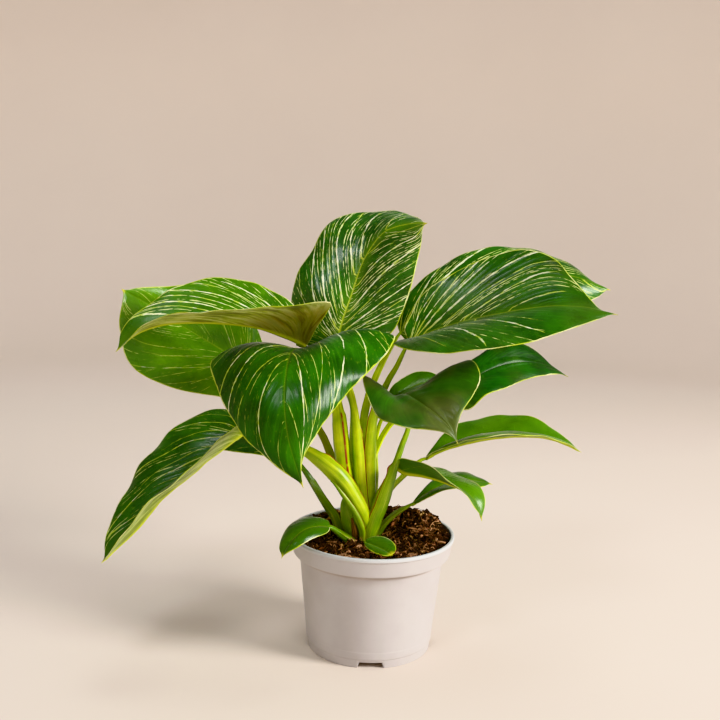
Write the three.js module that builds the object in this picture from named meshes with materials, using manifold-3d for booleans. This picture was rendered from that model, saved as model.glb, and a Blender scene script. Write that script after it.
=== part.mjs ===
// A philodendron Birkin growing in its nursery pot, in millimetres, +Z up.
// The origin is the middle of the pot's foot, on the surface that the pot stands on.
// Every leaf is a blade and a petiole. A blade is a skin stretched from its midrib to its two edges,
// and a petiole is a tapering stalk that runs from the crown, or from the soil, to the blade's base.
import * as THREE from "three";
import { mergeVertices } from "three/addons/utils/BufferGeometryUtils.js";
import Module from "manifold-3d";

const wasm = await Module();
wasm.setup();

// --- Driving dimensions ---------------------------------------------------------------------

const CLEARANCE = 0.3; // between neighbouring pieces

const POT = {
  height: 85.4,
  rimRadius: 60,
  lipWidth: 2.6,
  lipHeight: 2.6,
  collarTopRadius: 59.2,
  collarFootRadius: 57.2,
  collarFootHeight: 71.5,
  wallTopRadius: 52.3,
  wallTopHeight: 69.6,
  wallFootRadius: 45.6,
  footHeight: 6,
  footRadius: 44.9,
  footWidth: 3.2,
  floorHeight: 4,
  floorThickness: 1.8,
  wall: 1.5,
  segments: 36,
};
const NOTCH = { count: 4, width: 19, height: 4.4, firstAzimuth: -88 };
const DRAIN = { count: 6, radius: 3.5, circle: 27 };

const SOIL = {
  edgeHeight: 80,
  dome: 3,
  lumpHeight: 0.8,
  segments: 32,
  ringRadii: [12, 23, 33, 43, 52],
};
// Heaps on the soil: where they are, how high they rise and how far they spread.
const HEAPS = [
  { x: 33, y: 26, height: 7, spread: 17 },
  { x: 14, y: 42, height: 6, spread: 13 },
  { x: 47, y: 4, height: 4, spread: 15 },
  { x: -34, y: 34, height: 5, spread: 13 },
];

const BLADE = { thickness: 0.8, ribDepth: 1.6, ribReach: 0.08 };
const BLADE_COLUMNS = [-1, -0.7, -0.38, -BLADE.ribReach, 0, BLADE.ribReach, 0.38, 0.7, 1];
// How far along the midrib a row starts that ends a given share of the way round the edge.
const ROW_LAG = 1.6;
// Rows nearer the base than this share take their upward direction from this row.
const STEADY_ROW = 0.33;

const STALK = { sides: 8, flatness: 0.84 };
const STALK_FACING = new THREE.Vector3(0, -0.9, 0.44).normalize(); // the broad side's outlook
const SPAN_PER_RING = 12; // mm of stalk for each ring of its mesh

const CROWN = {
  route: [[-9, -2, 56], [-9, 0, 80], [-8, 3, 97]],
  widths: [19, 20, 13],
};

// --- Leaves ---------------------------------------------------------------------------------
// rib runs from the blade's base to its tip. left and right are its edges on either side, with the
// glossy face up, from beside the base round the lobe towards the tip. bulge is how far each half
// arches, as a share of its width. stalk is the petiole's route and its widths along the way.
// Leaves are in the order in which their stalks keep their shape where they crowd at the crown.

const LEAVES = [
  {
    name: "low_left",
    rib: [
      [-92, -24, 162], [-106, -30, 150], [-116, -34, 143], [-125, -38, 134],
      [-142, -46, 121], [-157, -55, 102], [-170, -63, 90], [-180, -70, 81],
    ],
    left: [
      [-89, -34, 170], [-95, -44, 171], [-106, -64, 163], [-128, -78, 142],
      [-146, -82, 128], [-162, -81, 107], [-174, -77, 89],
    ],
    right: [
      [-93, -11, 166], [-99, -3, 171], [-108, 0, 173], [-120, -3, 171], [-134, -9, 166],
      [-145, -14, 159], [-155, -21, 147], [-163, -27, 138], [-169, -37, 124],
      [-175, -47, 112], [-179, -58, 99],
    ],
    bulge: [0.04, 0.12],
    rows: 13,
    stalk: {
      route: [
        [-6, -11, 89], [-9, -12, 104], [-15, -14, 117], [-23, -16, 128],
        [-34, -18, 140], [-53, -20, 151], [-74, -22, 159], [-92, -24, 162],
      ],
      widths: [11, 11, 10, 9, 7, 6, 5],
    },
  },
  {
    name: "front_right",
    plain: true,
    rib: [
      [18, -8, 178], [18, -22, 188], [25, -38, 190], [38, -52, 186], [48, -60, 178],
      [54, -62, 167],
    ],
    left: [
      [35, 0, 186], [51, -4, 203], [62, -12, 215], [68, -26, 213], [69, -36, 207],
      [64, -48, 199], [56, -56, 188], [53, -60, 178],
    ],
    right: [
      [8, -2, 184], [-4, -8, 195], [-10, -20, 204], [-8, -34, 196], [-5, -42, 189],
      [1, -50, 181], [9, -56, 179], [20, -60, 177], [32, -62, 177], [45, -63, 175],
    ],
    bulge: [0.08, 0.08],
    rows: 12,
    stalk: {
      route: [
        [-1, -14, 79], [-1, -15, 86], [0, -14, 103], [5, -14, 121], [11, -13, 135],
        [16, -12, 146], [23, -12, 167], [22, -11, 174], [18, -8, 178],
      ],
      widths: [11, 12, 12, 11, 8, 6, 5, 4],
    },
  },
  {
    name: "rim_left",
    plain: true,
    rib: [[-30, -26, 96], [-38, -34, 99], [-47, -42, 99], [-55, -48, 93], [-62, -51, 81]],
    left: [[-31, -34, 95], [-42, -47, 94], [-51, -53, 90], [-58, -54, 86]],
    right: [
      [-32, -20, 99], [-45, -22, 102], [-53, -27, 101], [-59, -34, 98], [-63, -42, 92],
      [-64, -47, 87],
    ],
    bulge: [0.1, 0.1],
    rows: 8,
    stalk: {
      route: [[-9, -15, 74], [-12, -17, 81], [-21, -20, 88], [-30, -26, 96]],
      widths: [5, 5, 4],
    },
  },
  {
    name: "rim_front",
    plain: true,
    rib: [[-4, -27, 84], [1, -31, 85], [8, -38, 85], [14, -46, 82]],
    left: [[-4, -23, 85], [3, -21, 87], [8, -22, 89], [13, -27, 88], [16, -33, 86], [15, -39, 85]],
    right: [[-4, -31, 83], [-1, -37, 83], [3, -42, 82], [10, -46, 82]],
    bulge: [0.08, 0.08],
    rows: 7,
    stalk: {
      route: [[-2, -23, 74], [-3, -24, 80], [-4, -27, 84]],
      widths: [4, 3.5, 3],
    },
  },
  {
    name: "tucked_left",
    plain: true,
    rib: [[-60, 4, 139], [-83, 18, 144], [-108, 32, 144], [-133, 44, 141], [-144, 48, 137]],
    left: [[-64, -2, 137], [-81, 2, 139], [-98, 12, 138], [-119, 28, 136]],
    right: [[-63, 14, 146], [-85, 34, 154], [-107, 48, 154], [-127, 54, 148]],
    bulge: [0.1, 0.1],
    rows: 10,
    stalk: {
      route: [
        [-20, -1, 76], [-22, -1, 84], [-27, -1, 98], [-33, -1, 111], [-42, 0, 122],
        [-50, 1, 132], [-60, 4, 139],
      ],
      widths: [8, 8, 8, 7, 6, 4],
    },
  },
  {
    name: "base_right",
    plain: true,
    rib: [[28, 4, 105], [38, 8, 112], [49, 13, 117], [64, 19, 120], [80, 25, 118], [90, 28, 115]],
    left: [
      [29, 11, 109], [35, 19, 115], [45, 26, 119], [59, 33, 122], [71, 35, 122],
      [79, 34, 119], [86, 31, 117],
    ],
    right: [
      [29, -1, 104], [37, -5, 112], [52, -3, 118], [61, 2, 118], [71, 10, 117], [81, 20, 115],
    ],
    bulge: [0.08, 0.08],
    rows: 9,
    stalk: {
      route: [[0, -4, 76], [3, -4, 82], [9, -3, 92], [18, 0, 100], [28, 4, 105]],
      widths: [6, 6, 5, 4.5, 4],
    },
  },
  {
    name: "top",
    rib: [
      [-29, 2, 221], [-26, 6, 237], [-20, 13, 255], [-14, 20, 276], [-6, 23, 292],
      [0, 22, 300], [12, 18, 306], [32, 8, 309],
    ],
    left: [
      [-38, 8, 216], [-54, 16, 222], [-63, 21, 246], [-59, 25, 268], [-51, 32, 283],
      [-37, 44, 307], [-24, 50, 312], [-3, 50, 315], [15, 38, 315], [25, 24, 312],
    ],
    right: [
      [-17, 6, 217], [-2, 4, 221], [10, 2, 232], [16, 2, 246], [21, 4, 261], [27, 9, 289],
      [30, 9, 303],
    ],
    bulge: [0.1, 0.1],
    rows: 13,
    stalk: {
      route: [
        [-9, 1, 96], [-10, 0, 124], [-13, 0, 160], [-17, 1, 182], [-24, 2, 204],
        [-29, 2, 221],
      ],
      widths: [8, 7.5, 7.5, 7, 6, 5],
    },
  },
  {
    name: "upper_right",
    rib: [
      [22, 0, 225], [36, -2, 232], [50, -5, 238], [72, -10, 245], [109, -20, 255],
      [138, -28, 257], [160, -32, 253],
    ],
    left: [
      [18, 2, 234], [23, 6, 245], [29, 10, 257], [52, 14, 274], [66, 16, 281], [82, 16, 288],
      [98, 13, 292], [112, 8, 291], [122, 1, 286], [132, -10, 275], [143, -21, 262],
      [151, -28, 255],
    ],
    right: [
      [10, -18, 226], [21, -34, 225], [37, -44, 225], [53, -49, 227], [76, -52, 231],
      [98, -50, 235], [115, -46, 240], [132, -41, 246], [150, -35, 251],
    ],
    bulge: [0.1, 0.1],
    rows: 13,
    stalk: {
      route: [
        [-2, 1, 95], [-2, 0, 136], [-1, 0, 168], [5, -1, 190], [14, -1, 209], [22, 0, 225],
      ],
      widths: [8, 7.5, 7.5, 7, 6, 5],
    },
  },
  {
    name: "front_left",
    rib: [
      [-43, 4, 208], [-52, -18, 219], [-58, -40, 222], [-60, -62, 214], [-60, -77, 197],
      [-56, -87, 173], [-46, -90, 143],
    ],
    left: [
      [-38, -3, 206], [-27, -7, 208], [-12, -9, 216], [0, -11, 225], [7, -16, 229],
      [4, -28, 221], [-8, -46, 210], [-19, -58, 200], [-36, -76, 180], [-47, -87, 159],
    ],
    right: [
      [-57, 18, 200], [-83, 10, 202], [-105, -8, 204], [-112, -26, 203], [-107, -46, 196],
      [-98, -62, 185], [-84, -77, 170], [-74, -83, 163], [-58, -88, 152],
    ],
    bulge: [0.15, 0.14],
    rows: 14,
    stalk: {
      route: [
        [-14, -2, 94], [-20, -4, 117], [-24, -4, 137], [-26, -4, 161], [-29, -3, 183],
        [-34, -1, 199], [-43, 4, 208],
      ],
      widths: [8, 7.5, 7, 7, 6, 5],
    },
  },
  {
    name: "back_left",
    rib: [[-94, 34, 197], [-114, 42, 207], [-148, 42, 227], [-168, 30, 242], [-183, 6, 256]],
    left: [
      [-85, 30, 185], [-100, 24, 177], [-124, 18, 179], [-153, 13, 186], [-177, 8, 201],
      [-184, 4, 226], [-183, 3, 246],
    ],
    right: [
      [-85, 46, 207], [-90, 50, 224], [-105, 54, 245], [-131, 52, 257], [-151, 42, 256],
      [-173, 20, 256],
    ],
    bulge: [0.12, 0.12],
    rows: 12,
    stalk: {
      route: [
        [-14, 6, 92], [-22, 9, 120], [-29, 10, 133], [-40, 14, 155], [-56, 20, 173],
        [-77, 28, 187], [-94, 34, 197],
      ],
      widths: [7, 6, 6, 5, 5],
    },
  },
  {
    name: "twisted",
    plain: true,
    rib: [
      [16, -6, 136], [21, -8, 132], [31, -12, 132], [42, -16, 131], [55, -21, 128],
      [65, -24, 124], [72, -27, 117], [76, -30, 105],
    ],
    left: [
      [16, 2, 136], [30, 8, 134], [48, 6, 132], [56, 4, 130], [70, -4, 127],
      [76, -12, 125], [79, -20, 119], [78, -26, 112],
    ],
    right: [
      [15, -12, 142], [20, -20, 146], [28, -29, 147], [39, -35, 144], [49, -38, 137],
      [57, -38, 131], [64, -37, 124], [69, -35, 117], [74, -32, 110],
    ],
    bulge: [0.05, 0.05],
    rows: 10,
    stalk: {
      route: [[-1, -3, 96], [3, -3, 108], [8, -4, 121], [16, -6, 136]],
      widths: [7, 7, 6, 4.5],
    },
  },
  {
    name: "low_right",
    plain: true,
    rib: [
      [37, 14, 137], [48, 16, 142], [62, 18, 146], [83, 20, 151], [98, 21, 153],
      [113, 22, 154], [128, 23, 153], [143, 24, 148], [154, 24, 143],
    ],
    left: [
      [37, 20, 142], [44, 26, 149], [49, 30, 153], [62, 36, 159], [79, 40, 163],
      [100, 40, 166], [116, 38, 166], [125, 36, 163], [137, 32, 156], [147, 28, 149],
    ],
    right: [
      [40, 4, 142], [59, -6, 154], [79, -9, 160], [93, -8, 162], [108, -4, 162],
      [124, 4, 159], [141, 13, 152], [149, 19, 147],
    ],
    bulge: [0.05, 0.12],
    rows: 12,
    stalk: {
      route: [
        [-2, 4, 92], [5, 5, 103], [13, 6, 116], [24, 9, 127], [34, 13, 136], [37, 14, 137],
      ],
      widths: [6, 6, 5, 4, 4],
    },
  },
  {
    name: "upper_left",
    rib: [
      [-51, -2, 220], [-70, -8, 228], [-85, -14, 234], [-106, -22, 237], [-127, -28, 238],
      [-149, -33, 236], [-167, -36, 228], [-177, -38, 218],
    ],
    left: [
      [-42, -20, 238], [-33, -38, 256], [-42, -44, 256], [-62, -50, 255], [-94, -56, 252],
      [-135, -54, 247], [-157, -47, 238], [-171, -41, 223],
    ],
    right: [
      [-52, 5, 229], [-56, 8, 241], [-66, 8, 252], [-84, 5, 262], [-100, 2, 266],
      [-113, -2, 267], [-127, -8, 265], [-144, -16, 259], [-157, -24, 250],
      [-169, -31, 240], [-175, -35, 230],
    ],
    bulge: [0.05, 0.1],
    rows: 13,
    stalk: {
      route: [
        [-12, 6, 95], [-16, 9, 151], [-17, 8, 177], [-24, 6, 192], [-37, 2, 207],
        [-51, -2, 220],
      ],
      widths: [7, 6.5, 6, 5],
    },
  },
  {
    name: "mid_right",
    plain: true,
    rib: [
      [54, 8, 187], [68, 18, 198], [91, 30, 207], [111, 42, 208], [130, 50, 203],
      [147, 55, 194],
    ],
    left: [
      [56, 18, 197], [69, 30, 208], [82, 40, 215], [98, 48, 218], [108, 52, 219],
      [120, 56, 214], [129, 57, 208], [137, 57, 200],
    ],
    right: [
      [56, 2, 181], [65, -2, 178], [79, 2, 189], [94, 10, 193], [110, 24, 197],
      [127, 38, 198], [138, 48, 197],
    ],
    bulge: [0.1, 0.1],
    rows: 12,
    stalk: {
      route: [
        [-3, 6, 95], [-1, 8, 110], [-2, 8, 125], [0, 7, 140], [11, 6, 164], [32, 5, 180],
        [54, 8, 187],
      ],
      widths: [5, 5, 4, 4],
    },
  },
  {
    name: "back_right",
    rib: [
      [16, 30, 227], [38, 42, 247], [68, 52, 262], [114, 64, 273], [151, 74, 269],
      [181, 82, 259],
    ],
    left: [
      [13, 38, 240], [24, 48, 257], [42, 60, 272], [61, 69, 283], [82, 77, 289],
      [100, 83, 290], [116, 87, 289], [136, 88, 284], [154, 87, 275], [169, 83, 263],
    ],
    right: [
      [23, 24, 222], [45, 24, 226], [75, 32, 231], [113, 46, 242], [146, 60, 249],
      [165, 72, 252],
    ],
    bulge: [0.1, 0.1],
    rows: 13,
    stalk: {
      route: [
        [-7, 7, 95], [-9, 9, 143], [-8, 9, 170], [-5, 11, 184], [0, 15, 199], [10, 24, 218],
        [16, 30, 227],
      ],
      widths: [7, 7, 6.5, 6, 5],
    },
  },
  {
    name: "small_back",
    plain: true,
    rib: [[12, 10, 180], [21, 18, 186], [36, 26, 191], [59, 32, 187]],
    left: [[9, 16, 185], [12, 20, 190], [18, 25, 194], [29, 30, 199], [41, 34, 198], [51, 35, 192]],
    right: [[14, 6, 183], [31, 8, 191], [45, 16, 191]],
    bulge: [0.1, 0.1],
    rows: 8,
    stalk: {
      route: [[-4, 8, 94], [1, 12, 112], [1, 12, 151], [4, 11, 165], [12, 10, 180]],
      widths: [5, 5, 4],
    },
  },
];

// Leafless sheaths round the foot of the crown, which once wrapped younger leaves.
const SHEATHS = [
  {
    name: "sheath_front",
    route: [
      [-6, -16, 76], [-7, -17, 82], [-12, -18, 99], [-19, -20, 114], [-27, -21, 125],
      [-34, -22, 131],
    ],
    widths: [8, 9, 8, 5, 2],
  },
  {
    name: "sheath_left",
    route: [[-14, -8, 76], [-15, -9, 86], [-18, -10, 96], [-20, -10, 105], [-20, -10, 112]],
    widths: [8, 9, 10, 8, 3],
  },
  {
    name: "sheath_dry",
    dry: true,
    route: [[-12, -13, 78], [-13, -14, 90], [-15, -14, 99]],
    widths: [4, 4, 2],
  },
];

// --- Materials ------------------------------------------------------------------------------

const material = (color, roughness) =>
  new THREE.MeshStandardMaterial({ color, roughness, metalness: 0 });

const MATERIALS = {
  striped: () => material(0x1f6a1c, 0.35),
  plain: () => material(0x2c6d22, 0.38),
  petiole: () => material(0x9fb93a, 0.45),
  sheath: () => material(0x8fb045, 0.5),
  dry: () => material(0x7a4a26, 0.8),
  soil: () => material(0x3b2518, 0.95),
  pot: () => material(0xc9c3bd, 0.55),
};

// --- Solids ---------------------------------------------------------------------------------

function solidFromGeometry(geometry) {
  const positions = new THREE.BufferGeometry();
  positions.setAttribute("position", geometry.getAttribute("position"));
  positions.setIndex(geometry.index);
  const merged = mergeVertices(positions, 1e-3);
  const mesh = new wasm.Mesh({
    numProp: 3,
    vertProperties: merged.getAttribute("position").array,
    triVerts: new Uint32Array(merged.index.array),
  });
  return new wasm.Manifold(mesh);
}

function geometryFromSolid(solid) {
  const mesh = solid.getMesh();
  const geometry = new THREE.BufferGeometry();
  geometry.setAttribute("position", new THREE.BufferAttribute(mesh.vertProperties, 3));
  geometry.setIndex(new THREE.BufferAttribute(mesh.triVerts, 1));
  geometry.computeVertexNormals();
  return geometry;
}

function geometryFromLists(vertices, triangles) {
  const geometry = new THREE.BufferGeometry().setFromPoints(vertices);
  geometry.setIndex(triangles);
  return geometry;
}

function largestBody(solid) {
  const bodies = solid.decompose();
  return bodies.reduce((best, body) => (body.volume() > best.volume() ? body : best));
}

// --- Blades ---------------------------------------------------------------------------------

const route = (points) =>
  new THREE.CatmullRomCurve3(points.map((point) => new THREE.Vector3(...point)));

const ribShare = (row) => row ** ROW_LAG;

// The upward direction of one half of a blade at a row, square to the rib and to the row.
function upward(ribCurve, edge, side, row) {
  const steady = Math.max(row, STEADY_ROW);
  const share = Math.min(ribShare(steady), 0.98);
  const across = edge.getPointAt(Math.min(steady, 0.98)).sub(ribCurve.getPointAt(share));
  const along = ribCurve.getTangentAt(share);
  return new THREE.Vector3().crossVectors(along, across).multiplyScalar(-side).normalize();
}

function bladeSkin({ rib, left, right, bulge, rows }) {
  const ribCurve = route(rib);
  const tip = rib.at(-1);
  const halves = [
    { side: -1, edge: route([rib[0], ...left, tip]), bulge: bulge[0] },
    { side: 1, edge: route([rib[0], ...right, tip]), bulge: bulge[1] },
  ];
  const grid = [];
  for (let i = 0; i <= rows; i++) {
    const row = i / rows;
    const onRib = ribCurve.getPointAt(ribShare(row));
    grid.push(
      BLADE_COLUMNS.map((column) => {
        const half = halves[column < 0 ? 0 : 1];
        const across = Math.abs(column);
        const onEdge = half.edge.getPointAt(row);
        const arch = 4 * across * (1 - across) * half.bulge * onEdge.distanceTo(onRib);
        return new THREE.Vector3()
          .lerpVectors(onRib, onEdge, across)
          .addScaledVector(upward(ribCurve, half.edge, half.side, row), arch);
      }),
    );
  }
  return grid;
}

// The first and last rows are single points, so they borrow the direction of the row beside them.
function skinNormal(grid, i, j) {
  const last = BLADE_COLUMNS.length - 1;
  const row = THREE.MathUtils.clamp(i, 1, grid.length - 2);
  const column = row === i ? j : last / 2;
  const across = grid[row][Math.min(column + 1, last)].clone();
  across.sub(grid[row][Math.max(column - 1, 0)]);
  const along = grid[row + 1][column].clone().sub(grid[row - 1][column]);
  return across.cross(along).normalize();
}

// A closed skin of even thickness with the midrib raised on its under face. Both faces are split
// into triangles alike, so that they stay parallel.
function bladeGeometry(leaf) {
  const grid = bladeSkin(leaf);
  const columns = BLADE_COLUMNS.length;
  const lastRow = grid.length - 1;
  const vertices = [];
  const top = grid.map(() => []);
  const under = grid.map(() => []);
  grid.forEach((points, i) => {
    const pointed = i === 0 || i === lastRow;
    points.forEach((point, j) => {
      if (pointed && j > 0) {
        top[i].push(top[i][0]);
        under[i].push(under[i][0]);
        return;
      }
      const normal = skinNormal(grid, i, j);
      const onRib = BLADE_COLUMNS[j] === 0;
      const ribDepth = onRib ? BLADE.ribDepth * (1 - i / lastRow) : 0;
      top[i].push(vertices.length);
      vertices.push(point.clone().addScaledVector(normal, BLADE.thickness / 2));
      under[i].push(vertices.length);
      vertices.push(point.clone().addScaledVector(normal, -BLADE.thickness / 2 - ribDepth));
    });
  });

  const triangles = [];
  const triangle = (a, b, c) => {
    if (a !== b && b !== c && c !== a) triangles.push(a, b, c);
  };
  for (let i = 0; i < lastRow; i++) {
    for (let j = 0; j < columns - 1; j++) {
      const mirrored = BLADE_COLUMNS[j] < 0;
      [top, under].forEach((face) => {
        const [a, b, c, d] = [face[i][j], face[i][j + 1], face[i + 1][j + 1], face[i + 1][j]];
        const split = mirrored ? [[a, b, c], [a, c, d]] : [[a, b, d], [b, c, d]];
        split.forEach(([p, q, r]) => (face === top ? triangle(p, q, r) : triangle(p, r, q)));
      });
    }
    [0, columns - 1].forEach((j) => {
      const [a, b, c, d] = [top[i][j], top[i + 1][j], under[i + 1][j], under[i][j]];
      const corners = j === 0 ? [[a, b, c], [a, c, d]] : [[a, c, b], [a, d, c]];
      corners.forEach((corner) => triangle(...corner));
    });
  }
  return geometryFromLists(vertices, triangles);
}

// --- Stalks ---------------------------------------------------------------------------------

function widthAt(widths, share) {
  const position = share * (widths.length - 1);
  const index = Math.min(Math.floor(position), widths.length - 2);
  return THREE.MathUtils.lerp(widths[index], widths[index + 1], position - index);
}

// A tapering stalk with an oval section. extra fattens it all round, for the hole it stands in.
function stalkGeometry({ route: points, widths }, extra = 0) {
  const curve = route(points);
  const length = curve.getLength();
  const rings = Math.max(4, Math.round(length / SPAN_PER_RING));
  const vertices = [];
  const triangles = [];
  for (let i = 0; i <= rings; i++) {
    const share = i / rings;
    const along = curve.getTangentAt(share);
    const broad = new THREE.Vector3().crossVectors(along, STALK_FACING).normalize();
    const deep = new THREE.Vector3().crossVectors(along, broad);
    const halfWidth = widthAt(widths, share) / 2;
    const centre = curve.getPointAt(share);
    if (i === 0) centre.addScaledVector(along, -extra);
    if (i === rings) centre.addScaledVector(along, extra);
    for (let k = 0; k < STALK.sides; k++) {
      const angle = (2 * Math.PI * k) / STALK.sides;
      const out = centre.clone();
      out.addScaledVector(broad, Math.cos(angle) * (halfWidth + extra));
      out.addScaledVector(deep, Math.sin(angle) * (halfWidth * STALK.flatness + extra));
      vertices.push(out);
    }
  }
  for (let i = 0; i < rings; i++) {
    for (let k = 0; k < STALK.sides; k++) {
      const next = (k + 1) % STALK.sides;
      const [a, b] = [i * STALK.sides + k, i * STALK.sides + next];
      const [c, d] = [b + STALK.sides, a + STALK.sides];
      triangles.push(a, b, c, a, c, d);
    }
  }
  const lastRing = rings * STALK.sides;
  for (let k = 1; k < STALK.sides - 1; k++) {
    triangles.push(0, k + 1, k);
    triangles.push(lastRing, lastRing + k, lastRing + k + 1);
  }
  return geometryFromLists(vertices, triangles);
}

// --- Pot ------------------------------------------------------------------------------------

const turned = (profile, segments) =>
  new THREE.LatheGeometry(
    profile.map(([radius, height]) => new THREE.Vector2(radius, height)),
    segments,
  ).rotateX(Math.PI / 2);

function potSolid() {
  const floorTop = POT.floorHeight + POT.floorThickness;
  const lipBottom = POT.height - POT.lipHeight;
  const outside = [
    [0, POT.floorHeight],
    [POT.footRadius - POT.footWidth - 1, POT.floorHeight],
    [POT.footRadius - POT.footWidth, 0],
    [POT.footRadius - 0.4, 0],
    [POT.footRadius, 0.5],
    [POT.wallFootRadius + 0.5, POT.footHeight],
    [POT.wallFootRadius, POT.footHeight + 0.8],
    [POT.wallTopRadius, POT.wallTopHeight],
    [POT.collarFootRadius - 0.4, POT.collarFootHeight - 0.4],
    [POT.collarFootRadius, POT.collarFootHeight],
    [POT.collarTopRadius, lipBottom - 0.4],
    [POT.rimRadius, lipBottom],
    [POT.rimRadius, POT.height - 0.5],
    [POT.rimRadius - 0.5, POT.height],
  ];
  const inside = [
    [POT.rimRadius - POT.lipWidth, POT.height],
    [POT.collarTopRadius - POT.wall - 0.4, lipBottom - 1],
    [POT.collarFootRadius - POT.wall, POT.collarFootHeight + POT.wall],
    [POT.wallTopRadius - POT.wall, POT.wallTopHeight + 0.8],
    [POT.wallFootRadius - POT.wall, floorTop + 1],
    [POT.wallFootRadius - POT.wall - 1, floorTop],
    [0, floorTop],
  ];
  let pot = solidFromGeometry(turned([...outside, ...inside], POT.segments));
  for (let k = 0; k < NOTCH.count; k++) {
    const azimuth = THREE.MathUtils.degToRad(NOTCH.firstAzimuth) + (2 * Math.PI * k) / NOTCH.count;
    const shape = new THREE.Shape();
    const half = NOTCH.width / 2;
    shape.moveTo(-half, -1);
    shape.lineTo(half, -1);
    shape.lineTo(half - 1.5, NOTCH.height);
    shape.lineTo(-half + 1.5, NOTCH.height);
    shape.closePath();
    const depth = POT.footWidth + 8;
    const notch = new THREE.ExtrudeGeometry(shape, { depth, bevelEnabled: false });
    notch.rotateX(Math.PI / 2);
    notch.translate(0, POT.footRadius + 3, 0);
    notch.rotateZ(azimuth - Math.PI / 2);
    pot = pot.subtract(solidFromGeometry(notch));
  }
  for (let k = 0; k < DRAIN.count; k++) {
    const azimuth = (2 * Math.PI * k) / DRAIN.count;
    const drain = new THREE.CylinderGeometry(DRAIN.radius, DRAIN.radius, 8, 10);
    drain.rotateX(Math.PI / 2);
    drain.translate(
      DRAIN.circle * Math.cos(azimuth),
      DRAIN.circle * Math.sin(azimuth),
      POT.floorHeight,
    );
    pot = pot.subtract(solidFromGeometry(drain));
  }
  return pot;
}

// --- Soil -----------------------------------------------------------------------------------

function soilHeight(x, y) {
  const share = Math.hypot(x, y) / SOIL.ringRadii.at(-1);
  let height = SOIL.edgeHeight + SOIL.dome * (1 - share * share);
  for (const heap of HEAPS) {
    const distance = Math.hypot(x - heap.x, y - heap.y) / heap.spread;
    height += heap.height * Math.exp(-distance * distance);
  }
  const lumps = Math.sin(x * 0.41 + 1.3) * Math.cos(y * 0.47) + Math.sin(x * 0.23 - y * 0.31);
  return height + (SOIL.lumpHeight * lumps) / 2;
}

function soilGeometry() {
  const floorTop = POT.floorHeight + POT.floorThickness + CLEARANCE;
  const gap = POT.wall + CLEARANCE;
  const wallRings = [
    [SOIL.ringRadii.at(-1) + 2, SOIL.edgeHeight - 3],
    [POT.collarFootRadius - gap - 0.5, POT.collarFootHeight + POT.wall + 1],
    [POT.wallTopRadius - gap - 0.3, POT.wallTopHeight + POT.wall],
    [POT.wallFootRadius - gap - 1.4, floorTop],
  ];
  const vertices = [new THREE.Vector3(0, 0, soilHeight(0, 0))];
  const ringAt = (radius, heightAt) => {
    for (let k = 0; k < SOIL.segments; k++) {
      const angle = (2 * Math.PI * k) / SOIL.segments;
      const [x, y] = [radius * Math.cos(angle), radius * Math.sin(angle)];
      vertices.push(new THREE.Vector3(x, y, heightAt(x, y)));
    }
  };
  SOIL.ringRadii.forEach((radius) => ringAt(radius, soilHeight));
  wallRings.forEach(([radius, height]) => ringAt(radius, () => height));
  vertices.push(new THREE.Vector3(0, 0, floorTop));

  const triangles = [];
  const rings = SOIL.ringRadii.length + wallRings.length;
  const at = (ring, k) => 1 + ring * SOIL.segments + (k % SOIL.segments);
  for (let k = 0; k < SOIL.segments; k++) {
    triangles.push(0, at(0, k), at(0, k + 1));
    for (let ring = 0; ring < rings - 1; ring++) {
      const [a, b, c, d] = [at(ring, k), at(ring + 1, k), at(ring + 1, k + 1), at(ring, k + 1)];
      triangles.push(a, b, c, a, c, d);
    }
    triangles.push(vertices.length - 1, at(rings - 1, k + 1), at(rings - 1, k));
  }
  return geometryFromLists(vertices, triangles);
}

// --- Assembly -------------------------------------------------------------------------------

const plant = new THREE.Group();

function addPiece(name, solid, surface) {
  const mesh = new THREE.Mesh(geometryFromSolid(solid), surface);
  mesh.name = name;
  plant.add(mesh);
}

// The stalks in the order in which they keep their shape. The crown takes its place after the
// stalks that stand in the soil beside it, and before those that grow out of its top.
const GROUNDED = 6;
const leafStalks = LEAVES.map(({ name, stalk }) => ({ name: "petiole_" + name, ...stalk }));
const stalks = [
  ...leafStalks.slice(0, 2),
  ...SHEATHS,
  ...leafStalks.slice(2, GROUNDED),
  { name: "crown", ...CROWN },
  ...leafStalks.slice(GROUNDED),
];

const fatStalks = [];
for (const stalk of stalks) {
  let solid = solidFromGeometry(stalkGeometry(stalk));
  for (const fat of fatStalks) solid = solid.subtract(fat);
  fatStalks.push(solidFromGeometry(stalkGeometry(stalk, CLEARANCE)));
  const surface = stalk.name.startsWith("petiole_") ? MATERIALS.petiole() : MATERIALS.sheath();
  addPiece(stalk.name, largestBody(solid), stalk.dry ? MATERIALS.dry() : surface);
}

for (const leaf of LEAVES) {
  let solid = solidFromGeometry(bladeGeometry(leaf));
  for (const fat of fatStalks) solid = solid.subtract(fat);
  addPiece(
    "blade_" + leaf.name,
    largestBody(solid),
    leaf.plain ? MATERIALS.plain() : MATERIALS.striped(),
  );
}

let soil = solidFromGeometry(soilGeometry());
for (const fat of fatStalks) soil = soil.subtract(fat);
addPiece("soil", largestBody(soil), MATERIALS.soil());
addPiece("pot", potSolid(), MATERIALS.pot());

export default plant;
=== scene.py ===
"""The looks of a potted philodendron Birkin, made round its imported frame.

Lengths are in millimetres and become metres where a mesh is made. Every leaf is a blade and a
petiole. A blade is a skin stretched from its midrib to its two edges. The rows of its mesh run
along its side veins, so that relief and stripes both follow them.
"""

import math
from types import SimpleNamespace

import bpy
import numpy as np
from mathutils import Matrix


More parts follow.
